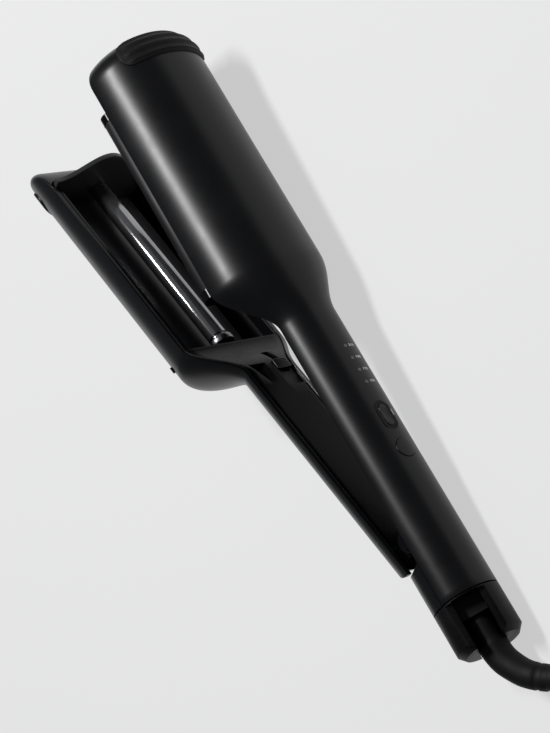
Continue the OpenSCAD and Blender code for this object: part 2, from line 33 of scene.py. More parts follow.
from math import asin, atan2, cos, pi, radians, sin, sqrt

import bpy
from bpy.props import FloatProperty, FloatVectorProperty, IntProperty, PointerProperty
from mathutils import Matrix, Vector

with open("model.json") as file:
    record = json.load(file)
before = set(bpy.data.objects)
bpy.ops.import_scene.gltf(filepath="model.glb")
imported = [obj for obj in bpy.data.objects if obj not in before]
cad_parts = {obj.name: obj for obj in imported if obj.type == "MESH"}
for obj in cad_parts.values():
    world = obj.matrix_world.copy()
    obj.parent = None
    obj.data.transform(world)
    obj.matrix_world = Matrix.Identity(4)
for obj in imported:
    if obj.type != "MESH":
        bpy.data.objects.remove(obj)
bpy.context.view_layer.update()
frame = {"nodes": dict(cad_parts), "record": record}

MM = 0.001

# ---------------- sizes
# All in millimetres, in the tool's own frame: X across, Y to the tips,
# Z the way the upper arm opens. LOW marks the lower arm, whose own frame
# is turned by the opening angle.

# Shells: wall, handle, head, and where the straight head begins
WALL = 2.0
GRIP_R = 15.5
HEAD_R = 30.5
HEAD_Y0 = 168.0
# Upper arm: neck, round nose with its corner, cut edges and head's axis
NECK_Y0 = 138.0
NOSE_Y = 277.5
NOSE_C = 14.0
NOSE_END = NOSE_Y + 22.5
UP_EDGE = 1.0
HEAD_DROP = 10.6
HEAD_MID = -HEAD_DROP - 0.05
# Lower arm: start, neck, axes and cut edges of handle and head, tip
LOW_START = 15.0
LOW_NECK0 = 141.0
LOW_MID = -1.3
LOW_EDGE = -4.0
LOW_RIM = -12.5
LOW_HEAD = -10.6
TIP_Y = 306.0
TIP_ROUND = 5.0
# Rounded end of the lower head, seen from the side
END_R = 25.0
END_Y = TIP_Y - END_R
END_Z = LOW_RIM - 24.5
# Rounded rear end of the lower arm
REAR_R = 16.75
REAR_Y = 32.9
# Tail cap, from the handle's end to the ears' bevelled ends
TAIL_Y = -5.0
TAIL_END = -28.0
EAR_BEVEL = 3.0
# Jaws: wavy end wall, plates, rods and the insides of the heads
WALL_END = 284.0
TROUGH_END = WALL_END - 2.4
CREST_H = 13.0
PLATE_T = 2.6
FLOOR_Z = -25.0
ROD_R = 4.8
ROD_X = 20.0
ROD_START = HEAD_Y0 + 8
LOW_ROD_Z = FLOOR_Z + ROD_R + 2.7
UP_ROD_Z = -HEAD_DROP - 8.7
FRAME_R = HEAD_R - WALL - 0.1
TROUGH_W = FRAME_R - 2.4
FLOOR_W = sqrt((FRAME_R - 1) ** 2 - (FLOOR_Z - PLATE_T - LOW_HEAD) ** 2) - 1.0
# Controls on the crown of the upper handle
BUTTON_Y = 63.3
BUTTON_R = 4.6
KEY_Y = 80.3
KEY_LEN = 11.0
KEY_W = 4.4
LAMPS = 4
LAMP_Y = 97.9
LAMP_PITCH = 6.4
# Pads and ribs on the tips
PAD_T = 1.2
RIB_TOP = 1.5
# How the open tool rests, and the resting frame's origin under its middle
OPEN_ANGLE = radians(11.15)
REST_TILT = radians(4.57)
REST_H = GRIP_R * cos(REST_TILT) - (TAIL_END + EAR_BEVEL) * sin(REST_TILT)
SPAN_HI = HEAD_R + RIB_TOP - HEAD_DROP
SPAN_LO = (TIP_Y - 6) * sin(OPEN_ANGLE) + (HEAD_R + PAD_T - LOW_HEAD) * cos(OPEN_ANGLE)
MID_X = (SPAN_HI - SPAN_LO) / 2
MID_Y = (NOSE_END + RIB_TOP + TAIL_END) / 2 - 1


def place(p):
    """A point of the cord's own route, in metres in the resting frame."""
    return Vector((p[0] - MID_X, p[1] - MID_Y, p[2])) * MM


def lay(p):
    """A point of the upper arm, in metres in the resting frame."""
    x, y, z = p
    c, s = cos(REST_TILT), sin(REST_TILT)
    return place((z, y * c + x * s, REST_H + y * s - x * c))


def low(p):
    """A point of the lower arm, in metres in the resting frame."""
    x, y, z = p
    c, s = cos(OPEN_ANGLE), sin(OPEN_ANGLE)
    return lay((x, y * c + z * s, -y * s + z * c))


# ---------------- materials
MIX_FACTOR, MIX_A, MIX_B, MIX_COLOUR = 0, 6, 7, 2
NOISE_MIN, NOISE_MAX = 0.3, 0.7


class Value:
    """A shader socket whose sums and products add Math nodes."""

    def __init__(self, tree, socket):
        self.tree = tree
        self.socket = socket

    def _math(self, operation, a, b):
        return self.tree.node("ShaderNodeMath", {"operation": operation}, {0: a, 1: b})

    def __add__(self, other):
        return self._math("ADD", self, other)

    __radd__ = __add__

    def __mul__(self, other):
        return self._math("MULTIPLY", self, other)

    __rmul__ = __mul__


class Tree:
    """A material with a Principled shader, built node by node."""

    def __init__(self, name):
        self.material = bpy.data.materials.new(name)
        self.material.use_nodes = True
        self.nodes = self.material.node_tree.nodes
        self.links = self.material.node_tree.links
        self.shader = self.nodes["Principled BSDF"]

    def set(self, node, key, value):
        """Links a value to a socket, or writes a constant on it."""
        socket = node.inputs[key]
        if isinstance(value, Value):
            self.links.new(value.socket, socket)
        else:
            socket.default_value = value

    def node(self, kind, settings, sockets, out=0):
        """Adds a node with its settings and sockets, and gives one output."""
        node = self.nodes.new(kind)
        for key, value in settings.items():
            setattr(node, key, value)
        for key, value in sockets.items():
            self.set(node, key, value)
        return Value(self, node.outputs[out])

    def finish(self, **sockets):
        """Sets the shader's sockets; an underscore stands for a space."""
        for key, value in sockets.items():
            self.set(self.shader, key.replace("_", " "), value)
        return self.material

    def place(self, scale=(1, 1, 1)):
        """Object coordinates, stretched along each axis."""
        coords = self.node("ShaderNodeTexCoord", {}, {}, "Object")
        return self.node("ShaderNodeMapping", {}, {"Vector": coords, "Scale": scale})

    def noise(self, where, scale, detail=3.0, rough=0.55):
        sockets = {"Vector": where, "Scale": scale, "Detail": detail, "Roughness": rough}
        return self.node("ShaderNodeTexNoise", {}, sockets, "Fac")

    def spread(self, value, least, most):
        """Stretches a noise to run from least to most."""
        sockets = {"Value": value, "From Min": NOISE_MIN, "From Max": NOISE_MAX}
        sockets.update({"To Min": least, "To Max": most})
        return self.node("ShaderNodeMapRange", {}, sockets)

    def blend(self, factor, a, b):
        """A colour between a and b."""
        sockets = {MIX_FACTOR: factor, MIX_A: a, MIX_B: b}
        return self.node("ShaderNodeMix", {"data_type": "RGBA"}, sockets, MIX_COLOUR)

    def mottle(self, value, colour, dark, light):
        """A colour that wanders between its darker and its lighter tone."""
        return self.blend(self.spread(value, 0.0, 1.0), shade(colour, dark), shade(colour, light))

    def bump(self, height, strength, distance):
        sockets = {"Height": height, "Strength": strength, "Distance": distance}
        return self.node("ShaderNodeBump", {}, sockets, "Normal")


def shade(colour, by):
    """A colour made darker or lighter, with full alpha."""
    return [min(1.0, c * by) for c in colour[:3]] + [1.0]


def satin_black(name, colour, rough):
    """Soft-touch moulded plastic: fine grain, faint handling marks."""
    t = Tree(name)
    where = t.place()
    grain = t.noise(where, scale=2600.0, detail=2.0)
    cloud = t.noise(where, scale=38.0, detail=4.0)
    rub = t.noise(where, scale=160.0, detail=5.0, rough=0.7)
    return t.finish(
        Base_Color=t.mottle(cloud, colour, dark=0.88, light=1.14),
        Roughness=t.spread(rub * 0.5 + cloud * 0.5, rough - 0.03, rough + 0.04),
        Normal=t.bump(grain, strength=0.12, distance=0.00006),
        IOR=1.36,
    )


def gloss_black(name, colour, rough, shine=0.3):
    """Polished moulded plastic with dust-fine haze and slow ripple."""
    t = Tree(name)
    where = t.place()
    haze = t.noise(where, scale=90.0, detail=5.0, rough=0.7)
    ripple = t.noise(where, scale=24.0, detail=1.0)
    speck = t.noise(where, scale=1500.0, detail=2.0)
    return t.finish(
        Base_Color=t.mottle(haze, colour, dark=0.85, light=1.15),
        Roughness=t.spread(haze * 0.7 + speck * 0.3, rough * 0.75, rough * 1.3),
        Normal=t.bump(ripple, strength=0.06, distance=0.0003),
        IOR=1.3,
        Specular_IOR_Level=shine,
    )


def coated_metal(name, colour, rough):
    """Dark ceramic-coated metal, drawn along its length."""
    t = Tree(name)
    drawn = t.noise(t.place((60, 2.0, 60)), scale=14.0)
    cloud = t.noise(t.place(), scale=45.0)
    return t.finish(
        Base_Color=t.mottle(cloud, colour, dark=0.85, light=1.2),
        Roughness=t.spread(drawn, rough * 0.8, rough * 1.25),
        Normal=t.bump(drawn, strength=0.05, distance=0.00005),
        Metallic=0.9,
        IOR=1.6,
    )


def soft_rubber(name, colour, rough):
    """Moulded rubber with a matt, slightly dusty skin."""
    t = Tree(name)
    where = t.place()
    fine = t.noise(where, scale=3200.0, detail=2.0)
    dust = t.noise(where, scale=120.0, detail=5.0, rough=0.7)
    return t.finish(
        Base_Color=t.mottle(dust, colour, dark=0.8, light=1.3),
        Roughness=t.spread(dust, rough - 0.05, rough + 0.06),
        Normal=t.bump(fine, strength=0.2, distance=0.00008),
        IOR=1.3,
    )


def bright_metal(name, colour, rough):
    """Drawn or turned bare metal."""
    t = Tree(name)
    lines = t.noise(t.place((40, 2.5, 40)), scale=18.0)
    return t.finish(
        Base_Color=t.mottle(lines, colour, dark=0.85, light=1.1),
        Roughness=t.spread(lines, rough * 0.8, rough * 1.3),
        Normal=t.bump(lines, strength=0.05, distance=0.00005),
        Metallic=1.0,
    )


def chalky(name, colour):
    """Fired ceramic, circuit board or printed ink."""
    t = Tree(name)
    cloud = t.noise(t.place(), scale=130.0, detail=5.0)
    return t.finish(
        Base_Color=t.mottle(cloud, colour, dark=0.85, light=1.1),
        Roughness=0.7,
        Normal=t.bump(cloud, strength=0.1, distance=0.0001),
    )


# ---------------- what a user may change
def colour_field(label, about, default):
    """A colour that a user may change."""
    return FloatVectorProperty(name=label, description=about, subtype="COLOR", size=3, default=default)


def length_field(label, about, default):
    """A length that a user may change, in metres."""
    return FloatProperty(name=label, description=about, subtype="DISTANCE", unit="LENGTH", default=default)


class WaverLooks(bpy.types.PropertyGroup):
    """Colours and finishes."""

    shell: colour_field("Shell", "Colour of the satin shells", (0.003, 0.0032, 0.0039))
    shell_rough: FloatProperty(
        name="Shell roughness",
        description="Roughness of the satin shells",
        subtype="FACTOR", min=0.0, max=1.0, default=0.31,
    )
    gloss: colour_field("Gloss parts", "Colour of the glossy inner parts", (0.003, 0.003, 0.0036))
    rubber: colour_field("Rubber", "Colour of the rubber parts", (0.003, 0.003, 0.0034))
    metal: colour_field("Bare metal", "Colour of the bare metal parts", (0.56, 0.56, 0.58))


class WaverSizes(bpy.types.PropertyGroup):
    """Sizes that a user would change."""

    cord_width: length_field("Cord", "Diameter of the cord", 0.006)
    boot_width: length_field("Boot", "Diameter of the bend relief at the tool", 0.0126)
    turns: IntProperty(name="Turns", description="Turns of the coil in each layer", default=4, min=1)
    edge: length_field("Edge rounding", "Rounding of the shells' edges", 0.0004)


MATERIALS = {}


def sizes():
    """The scene's sizes, in metres."""
    return bpy.context.scene.waver_sizes


def make_materials():
    """Makes every finish, by the name that the pieces ask for."""
    chosen = bpy.context.scene.waver_looks
    MATERIALS.update(
        shell_black=satin_black("satin_shell", chosen.shell, chosen.shell_rough),
        inner_black=gloss_black("gloss_inner", chosen.gloss, 0.13),
        cover_black=gloss_black("cover_gloss", chosen.gloss, 0.28, shine=0.16),
        cap_black=gloss_black("cap_gloss", chosen.gloss, 0.4),
        dark_steel=bright_metal("blackened_steel", (0.012, 0.012, 0.014), 0.45),
        holder_grey=bright_metal("rod_holder", (0.22, 0.22, 0.23), 0.3),
        # The heat plate's grey is partly its own dark tone and partly painted sheen, standing in for the
        # reflection along the plate.
        plate_black=satin_black("heat_plate_painted_sheen", (0.05, 0.05, 0.056), 0.3),
        rod_black=coated_metal("rod_coating", (0.30, 0.30, 0.31), 0.13),
        # A darker, rougher copy of the rod coating for the upper rods: painted shade where they lie under the
        # head.
        rod_shade=satin_black("upper_rods_painted_shade", (0.004, 0.004, 0.005), 0.5),
        ink=chalky("pale_print", (0.75, 0.75, 0.76)),
        # The end wall is lighter than the trough's black of the same moulding: painted sheen on a face that
        # the lamp leaves dark.
        wall_satin=satin_black("end_wall_satin", (0.028, 0.028, 0.03), 0.34),
        rubber_black=soft_rubber("grip_rubber", chosen.rubber, 0.62),
        steel=bright_metal("bare_steel", chosen.metal, 0.28),
        board_green=chalky("circuit_board", (0.02, 0.12, 0.05)),
        lens=gloss_black("lamp_lens", (0.16, 0.16, 0.16), 0.2),
        heater_white=chalky("fired_ceramic", (0.75, 0.72, 0.66)),
        cord_black=soft_rubber("cord_jacket", (0.005, 0.005, 0.006), 0.45),
        pin_brass=bright_metal("plated_pins", (0.78, 0.66, 0.36), 0.25),
    )


# ---------------- helpers
WELD_GAP = 0.000004


def deselect():
    """Leaves nothing selected."""
    bpy.ops.object.select_all(action="DESELECT")


def grab(piece):
    """Selects one piece alone and makes it active."""
    deselect()
    piece.select_set(True)
    bpy.context.view_layer.objects.active = piece


def edit(piece, *steps):
    """Runs edit-mode steps on the whole of a piece."""
    grab(piece)
    bpy.ops.object.mode_set(mode="EDIT")
    bpy.ops.mesh.select_all(action="SELECT")
    for step, settings in steps:
        step(**settings)
    bpy.ops.object.mode_set(mode="OBJECT")


def weld(piece, gap=WELD_GAP):
    """Merges the points of a piece that lie together."""
    edit(piece, (bpy.ops.mesh.remove_doubles, {"threshold": gap}))


def recalc(piece):
    """Turns the faces of a closed piece outwards."""
    edit(piece, (bpy.ops.mesh.normals_make_consistent, {"inside": False}))


def face_from(piece, inside, way=1):
    """Turns an open sheet's faces away from inside(centre), or to it for -1."""
    away = sum(p.normal.dot(p.center - inside(p.center)) * p.area for p in piece.data.polygons)
    if away * way < 0:
        edit(piece, (bpy.ops.mesh.flip_normals, {}))


def apply_modifier(piece, kind, **settings):
    """Adds a modifier with its settings and applies it."""
    grab(piece)
    modifier = piece.modifiers.new(kind.title(), kind)
    for key, value in settings.items():
        setattr(modifier, key, value)
    bpy.ops.object.modifier_apply(modifier=modifier.name)


def thicken(piece, depth):
    """Gives a sheet a wall, inwards from its faces."""
    apply_modifier(piece, "SOLIDIFY", thickness=depth * MM, offset=-1.0, use_even_offset=False)


def soften(piece, width, segments=2, angle=40):
    """Rounds the edges that are sharper than an angle; width in metres."""
    limit = radians(angle)
    apply_modifier(piece, "BEVEL", width=width, segments=segments, limit_method="ANGLE", angle_limit=limit)


def cut(piece, cutter, operation="DIFFERENCE"):
    """Cuts a piece with a cutter, or joins the two, and drops the cutter."""
    apply_modifier(piece, "BOOLEAN", operation=operation, solver="EXACT", object=cutter)
    bpy.data.objects.remove(cutter, do_unlink=True)


def smooth(piece, angle=38):
    """Shades a piece smooth across edges flatter than an angle."""
    grab(piece)
    bpy.ops.object.shade_smooth_by_angle(angle=radians(angle))


def join(pieces):
    """Makes one piece of several."""
    deselect()
    for p in pieces:
        p.select_set(True)
    bpy.context.view_layer.objects.active = pieces[0]
    bpy.ops.object.join()
    return pieces[0]


def settle(piece, name, body, slot, nodes=(), finish=None):
    """Names a finished piece, gives it its finish and its body."""
    piece.name = name
    piece.data.name = name
    piece.data.materials.clear()
    piece.data.materials.append(MATERIALS[finish or slot])
    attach(piece, body)
    if nodes:
        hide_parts(*nodes)
    deselect()


# ---------------- forms
def sheet_of(name, across, rows, shape):
    """A grid whose point (u, v), each 0 to 1, is moved to shape(u, v)."""
    deselect()
    bpy.ops.mesh.primitive_grid_add(x_subdivisions=across, y_subdivisions=rows, size=1)
    piece = bpy.context.active_object
    for v in piece.data.vertices:
        v.co = shape(v.co.x + 0.5, v.co.y + 0.5)
    piece.name = name
    return piece


def sheet_by_rows(name, across, rows, point):
    """A grid with one line of points for each row: point(row, share across)."""
    last = len(rows) - 1
    return sheet_of(name, across, last, lambda u, v: point(rows[round(v * last)], u))


def block(lo, hi, frame_of):
    """A block between two corners, for cutting or shaping."""
    deselect()
    bpy.ops.mesh.primitive_cube_add(size=1)
    piece = bpy.context.active_object
    for v in piece.data.vertices:
        v.co = frame_of([lo[i] + (hi[i] - lo[i]) * (v.co[i] + 0.5) for i in range(3)])
    recalc(piece)
    return piece


def rod_through(radius, start, end, sides=48):
    """A round bar between two points, for cutting; radius in millimetres."""
    deselect()
    way = end - start
    bpy.ops.mesh.primitive_cylinder_add(
        vertices=sides,
        radius=radius * MM,
        depth=way.length,
        location=(start + end) / 2,
        rotation=way.to_track_quat("Z", "Y").to_euler(),
    )
    return bpy.context.active_object


def slot_bar(length, width, y, z0, z1):
    """A round-ended bar standing on the crown, for the key's slot."""
    deselect()
    bpy.ops.mesh.primitive_cylinder_add(vertices=48, radius=width / 2, depth=z1 - z0)
    piece = bpy.context.active_object
    shift = (length - width) / 2
    for v in piece.data.vertices:
        end = shift if v.co.y > 0.0 else -shift
        v.co = lay((v.co.x, y + v.co.y + end, (z0 + z1) / 2 + v.co.z))
    recalc(piece)
    return piece


def ring(centre, radius, sides, across=(1, 0, 0), up=(0, 0, 1)):
    """A circle of points about a centre."""
    points = []
    for k in range(sides):
        a = 2 * pi * k / sides
        points.append(tuple(centre[i] + radius * (cos(a) * across[i] + sin(a) * up[i]) for i in range(3)))
    return points


def middle(loop):
    """The middle of a loop of points."""
    return tuple(sum(p[i] for p in loop) / len(loop) for i in range(3))


def loft(name, loops, frame_of):
    """A closed solid through loops of equal count, capped at both ends."""
    count = len(loops[0])
    rows = [[middle(loops[0])] * count] + loops + [[middle(loops[-1])] * count]
    piece = sheet_by_rows(name, count, rows, lambda row, u: frame_of(row[round(u * count) % count]))
    weld(piece)
    recalc(piece)
    return piece


def turned(name, rows, frame_of, sides=72, axis=(0.0, 0.0)):
    """A solid turned about a line along the tool: rows of place and radius."""
    return loft(name, [ring((axis[0], y, axis[1]), r, sides) for y, r in rows], frame_of)


def bar(name, radius, y0, y1, axis, frame_of, round_by=0.4):
    """A round bar along the tool with softened ends."""
    near = 0.3 * round_by
    rows = [(y0, radius - round_by), (y0 + near, radius - near), (y0 + round_by, radius)]
    rows += [(y1 - round_by, radius), (y1 - near, radius - near), (y1, radius - round_by)]
    return turned(name, rows, frame_of, 64, axis)


def along(points, steps):
    """A smooth route through points."""
    out = []
    last = len(points) - 1
    for i in range(last):
        a, b, c, d = (Vector(points[max(0, min(k, last))]) for k in (i - 1, i, i + 1, i + 2))
        for k in range(steps):
            t = k / steps
            square = (2 * a - 5 * b + 4 * c - d) * t * t
            cube = (3 * b - a - 3 * c + d) * t ** 3
            out.append(0.5 * (2 * b + (c - a) * t + square + cube))
    out.append(Vector(points[-1]))
    return out


def hose(name, route, radii, sides=40):
    """A round tube along a route with its own radius at each point."""
    loops = []
    last = len(route) - 1
    for i, p in enumerate(route):
        way = (route[min(i + 1, last)] - route[max(i - 1, 0)]).normalized()
        across = way.cross(Vector((0, 0, 1))).normalized()
        loops.append(ring(p, radii[i], sides, across, across.cross(way)))
    return loft(name, loops, place)


def ease(u):
    """A share from 0 to 1 that starts and ends gently."""
    return u * u * (3 - 2 * u)


def mix(a, b, u):
    """A number between a and b, by an eased share."""
    return a + (b - a) * ease(u)


def steps_between(a, b, count):
    """Even steps from a up to, and without, b."""
    return [a + (b - a) * i / count for i in range(count)]


# ---------------- shells
# Rows and columns of the shells' sheets
ACROSS = 56
GRIP_ROWS, LOW_GRIP_ROWS, NECK_ROWS, BARREL_ROWS, NOSE_ROWS = 48, 44, 26, 22, 16
HEAD_ROWS, CORNER_ROWS, CAP_ROWS = 26, 8, 10
NOSE_CAP = (0.8, 0.6, 0.4, 0.2, 0.0)
# A line inside the lower arm, ending inside its tip
LOW_CORE_Y, LOW_CORE_Z = 280.0, -14.0
# Openings in the crown: hole radii, the key's slot and the dish about it
BUTTON_HOLE_R = 4.85
LAMP_HOLE_R = 0.8
KEY_SLOT = (11.5, 4.9)
KEY_DISH = (15.0, 8.0)
DISH_DEPTH = 0.7
INSIDE_Z, ABOVE_Z = 8, 20
# Past the sides of the arms, for cutters; the rear block stays inside that
PAST = 30.0
REAR_LO, REAR_HI = (1 - PAST, -20, -40), (PAST - 1, REAR_Y, 20)
# Sharpest angles that the shells keep unrounded
UPPER_SHARP, LOWER_SHARP = 55, 45


def neck_stations(start, mids, cuts):
    """Sections of a neck, with its centre and cut at the handle and head."""
    rows = []
    for i in range(NECK_ROWS):
        u = i / NECK_ROWS
        y = start + (HEAD_Y0 - start) * u
        rows.append((y, mix(GRIP_R, HEAD_R, u), mix(*mids, u), mix(*cuts, u)))
    return rows


def upper_stations():
    """Sections of the upper arm: place along, radius, centre, cut height."""
    rows = [(y, GRIP_R, 0.0, UP_EDGE) for y in steps_between(TAIL_Y, NECK_Y0, GRIP_ROWS)]
    rows += neck_stations(NECK_Y0, (0, HEAD_MID), (UP_EDGE, -HEAD_DROP))
    corner = NOSE_END - NOSE_C
    rows += [(y, HEAD_R, HEAD_MID, -HEAD_DROP) for y in steps_between(HEAD_Y0, corner, BARREL_ROWS)]
    for i in range(NOSE_ROWS + 1):
        turn = pi / 2 * i / NOSE_ROWS
        y = corner + NOSE_C * sin(turn)
        rows.append((y, HEAD_R - NOSE_C + NOSE_C * cos(turn), HEAD_MID, -HEAD_DROP))
    rows += [(NOSE_END, (HEAD_R - NOSE_C) * k, HEAD_MID, -HEAD_DROP) for k in NOSE_CAP]
    return rows


def lower_stations():
    """Sections of the lower arm, from its start to its head."""
    rows = [(y, GRIP_R, LOW_MID, LOW_EDGE) for y in steps_between(LOW_START, LOW_NECK0, LOW_GRIP_ROWS)]
    return rows + neck_stations(LOW_NECK0, (LOW_MID, LOW_HEAD), (LOW_EDGE, LOW_RIM))


def arc_point(row, up, share):
    """A point of a section, share 0 to 1 across its arc."""
    y, r, mid, cut_at = row
    if r < 0.001:
        return (0.0, y, mid)
    a = asin(max(-1.0, min(1.0, (cut_at - mid) / r)))
    lo, hi = (a, pi - a) if up > 0 else (pi - a, 2 * pi + a)
    t = lo + (hi - lo) * share
    return (r * cos(t), y, mid + r * sin(t))


def end_of(z):
    """Where the lower head ends at height z, seen from the side."""
    return END_Y + sqrt(END_R ** 2 - max(0.0, z - END_Z) ** 2)


def lower_point(sections, row, share):
    """A point of the lower arm's skin: sections, head, corner, then end."""
    if row < len(sections):
        return arc_point(sections[row], -1, share)
    row -= len(sections)
    if row <= HEAD_ROWS:
        x, y, z = arc_point((HEAD_Y0, HEAD_R, LOW_HEAD, LOW_RIM), -1, share)
        return (x, HEAD_Y0 + (end_of(z) - TIP_ROUND - HEAD_Y0) * row / HEAD_ROWS, z)
    row -= HEAD_ROWS
    turn = pi / 2 * min(row, CORNER_ROWS) / CORNER_ROWS
    inner = (HEAD_Y0, HEAD_R - TIP_ROUND * (1 - cos(turn)), LOW_HEAD, LOW_RIM)
    x, y, z = arc_point(inner, -1, share)
    back = TIP_ROUND * (1 - sin(turn))
    if row > CORNER_ROWS:
        size = 1 - (row - CORNER_ROWS) / CAP_ROWS
        x, z = x * size, LOW_RIM + (z - LOW_RIM) * size
    return (x, end_of(z) - back, z)


class WAVER_OT_upper_housing(bpy.types.Operator):
    """Adds the upper arm's satin shell with its openings"""

    bl_idname = "waver.upper_housing"
    bl_label = "Upper housing"

    def execute(self, context):
        rows = upper_stations()
        piece = sheet_by_rows("upper_housing", ACROSS, rows, lambda row, u: lay(arc_point(row, 1, u)))
        weld(piece)
        axis = [lay((0.0, row[0], row[2])) for row in rows]
        face_from(piece, lambda c: min(axis, key=lambda p: abs(p.y - c.y)))
        thicken(piece, WALL)
        soften(piece, sizes().edge, angle=UPPER_SHARP)
        cut(piece, rod_through(BUTTON_HOLE_R, lay((0, BUTTON_Y, INSIDE_Z)), lay((0, BUTTON_Y, ABOVE_Z)), 64))
        cut(piece, slot_bar(*KEY_SLOT, KEY_Y, INSIDE_Z, ABOVE_Z))
        cut(piece, slot_bar(*KEY_DISH, KEY_Y, GRIP_R - DISH_DEPTH, ABOVE_Z))
        for i in range(LAMPS):
            y = LAMP_Y + i * LAMP_PITCH
            cut(piece, rod_through(LAMP_HOLE_R, lay((0, y, INSIDE_Z)), lay((0, y, ABOVE_Z)), 24))
        smooth(piece)
        settle(piece, "upper_housing", "upper_arm", "shell_black", ["upper_shell"])
        return {"FINISHED"}


class WAVER_OT_lower_housing(bpy.types.Operator):
    """Adds the lower arm's satin shell with its rounded tip"""

    bl_idname = "waver.lower_housing"
    bl_label = "Lower housing"

    def execute(self, context):
        sections = lower_stations()
        rows = range(len(sections) + HEAD_ROWS + CORNER_ROWS + CAP_ROWS + 1)
        piece = sheet_by_rows(
            "lower_housing", ACROSS, rows, lambda row, u: low(lower_point(sections, row, u))
        )
        weld(piece)
        face_from(piece, lambda c: low((0.0, min(LOW_CORE_Y, (c.y + MID_Y * MM) / MM), LOW_CORE_Z)))
        thicken(piece, WALL)
        soften(piece, sizes().edge, angle=LOWER_SHARP)
        cheek = rod_through(REAR_R, low((-PAST, REAR_Y, 0)), low((PAST, REAR_Y, 0)), 96)
        rear = block(REAR_LO, REAR_HI, low)
        cut(rear, cheek)
        cut(piece, rear)
        smooth(piece)
        settle(piece, "lower_housing", "lower_arm", "shell_black", ["lower_shell"])
        return {"FINISHED"}


# ---------------- cord
# The route from the tail to the coil, in millimetres before place()
BOOT_POINTS = [(0, -17, 16.1), (0, -26, 15.3), (0.6, -34, 14.2), (3, -40, 13)]
BOOT_POINTS += [(7, -46, 11.6), (14, -52, 9.6), (24, -58, 7), (35, -64, 5)]
LEAD_POINTS = [(44, -70, 3.6), (54, -77, 3), (65, -85, 3), (77, -93, 3), (90, -100, 3)]
COIL_X, COIL_Y, COIL_R, CORD_R = 105.0, -62.0, 34.0, 3.0
COIL_STEPS = 20
# The last turn leaves the coil on this radius and runs to the plug: place
# along from the coil's middle, and height
LEAVE_R = 43
LEAVE_ANGLES = (-90, -72, -54, -36, -18, -4)
PLUG_POINTS = ((9, 8.7), (18, 7.9), (24, 7.5), (28, 7.5))


def coil_points(turns):
    """Turns beside each other inwards on the floor, then outwards on top."""
    points = []
    for layer in range(2):
        for i in range(turns * COIL_STEPS):
            t = i / COIL_STEPS
            angle = radians(-90 + 360 * t)
            shift = 2 * CORD_R * ((turns - 1) / 2 - min(t, turns - 1.0))
            r = COIL_R - shift if layer else COIL_R + shift
            z = 3 * CORD_R if layer else CORD_R * (1 + 2 * max(0.0, t - turns + 1.0))
            points.append((COIL_X + r * cos(angle), COIL_Y + r * sin(angle), z))
    return points


def curve_through(name, points, width):
    """A round curve; its width is in the points, so that its box is true."""
    data = bpy.data.curves.new(name, "CURVE")
    data.dimensions = "3D"
    data.resolution_u = 4
    data.bevel_depth = 1.0
    data.bevel_resolution = 4
    data.use_fill_caps = True
    spline = data.splines.new("BEZIER")
    spline.bezier_points.add(len(points) - 1)
    for b, p in zip(spline.bezier_points, points):
        b.co = p
        b.radius = width / 2
        b.handle_left_type = b.handle_right_type = "AUTO"
    piece = bpy.data.objects.new(name, data)
    bpy.context.scene.collection.objects.link(piece)
    return piece


class WAVER_OT_cord(bpy.types.Operator):
    """Adds the cord with its coil"""

    bl_idname = "waver.cord"
    bl_label = "Cord"

    def execute(self, context):
        chosen = sizes()
        points = BOOT_POINTS + LEAD_POINTS + coil_points(chosen.turns)
        for angle in LEAVE_ANGLES:
            turn = radians(angle)
            points.append((COIL_X + LEAVE_R * cos(turn), COIL_Y + LEAVE_R * sin(turn), 3 * CORD_R))
        points += [(COIL_X + LEAVE_R, COIL_Y + y, z) for y, z in PLUG_POINTS]
        route = [place(p) for p in points]
        cord = curve_through("mains_cord", route, chosen.cord_width)
        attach(cord, "upper_arm")
        cord.data.materials.append(MATERIALS["cord_black"])
        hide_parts("cord", "cord_coil")
        length = sum((b - a).length for a, b in zip(route, route[1:]))
        return {"FINISHED"}


# ---------------- tail
# Radii along the cap, from its seam with the handle to the ears' ends
CAP_ROWS_R = [(TAIL_Y, 14.4), (TAIL_Y - 0.35, 15.0), (TAIL_Y - 0.6, GRIP_R)]
CAP_ROWS_R += [(TAIL_END + EAR_BEVEL, GRIP_R), (TAIL_END, 12.9)]
# Slot between the ears, flats on its two ends, channel ahead of the slot:
# half widths and where they begin and end
SLOT_HALF, SLOT_Y = 6.5, TAIL_END + 14
FLAT_X, FLAT_HALF, FLAT_Y = 12.3, 14, TAIL_Y - 1.4
CHANNEL_X, CHANNEL_HALF = 7.7, 6.3
CHANNEL_Y0, CHANNEL_Y1 = TAIL_END + 13, TAIL_Y - 0.9
PAST_CAP = 20.0
CAP_EDGE = 0.12
BOOT_WAY_R = 6.2
# Bend relief: steps between its points, its rows inside the slot, swell and
# taper of its radius, ring grooves by row
BOOT_STEPS = 8
BOOT_INSIDE = 9
BOOT_FIT = 0.1
BOOT_SWELL, BOOT_TAPER = 0.7, 1.7
BOOT_END = 0.5
GROOVES = (37, 41, 45)
GROOVE_DEPTH = 0.6
SWIVEL_WAY_R = 4.5
# Collar about the swivel's stem: inner radius, from and to along, chamfer
COLLAR_R, COLLAR_Y0, COLLAR_Y1, COLLAR_CUT = 4.6, TAIL_Y - 9.2, TAIL_Y - 12.4, 0.3
# Rubber liners of the channel and the web that fills the slot beside the
# boot, clear of the swivel's stem
LINER_X, LINER_HALF = (7.5, 8.1), 6.2
LINER_Y0, LINER_Y1 = TAIL_END + 13.6, TAIL_Y - 1.1
WEB_X, WEB_HALF, STEM_CLEAR = 2.0, 6.45, 4.7
WEB_Y0, WEB_Y1, WEB_Y2, WEB_Y3 = TAIL_END + 1.6, TAIL_END + 10.8, TAIL_END + 10.9, TAIL_END + 13.9


def ears(p):
    """Turns a point about the tool's axis to the slot between the ears."""
    k = sqrt(0.5)
    return lay((k * (p[0] + p[2]), p[1], k * (p[2] - p[0])))


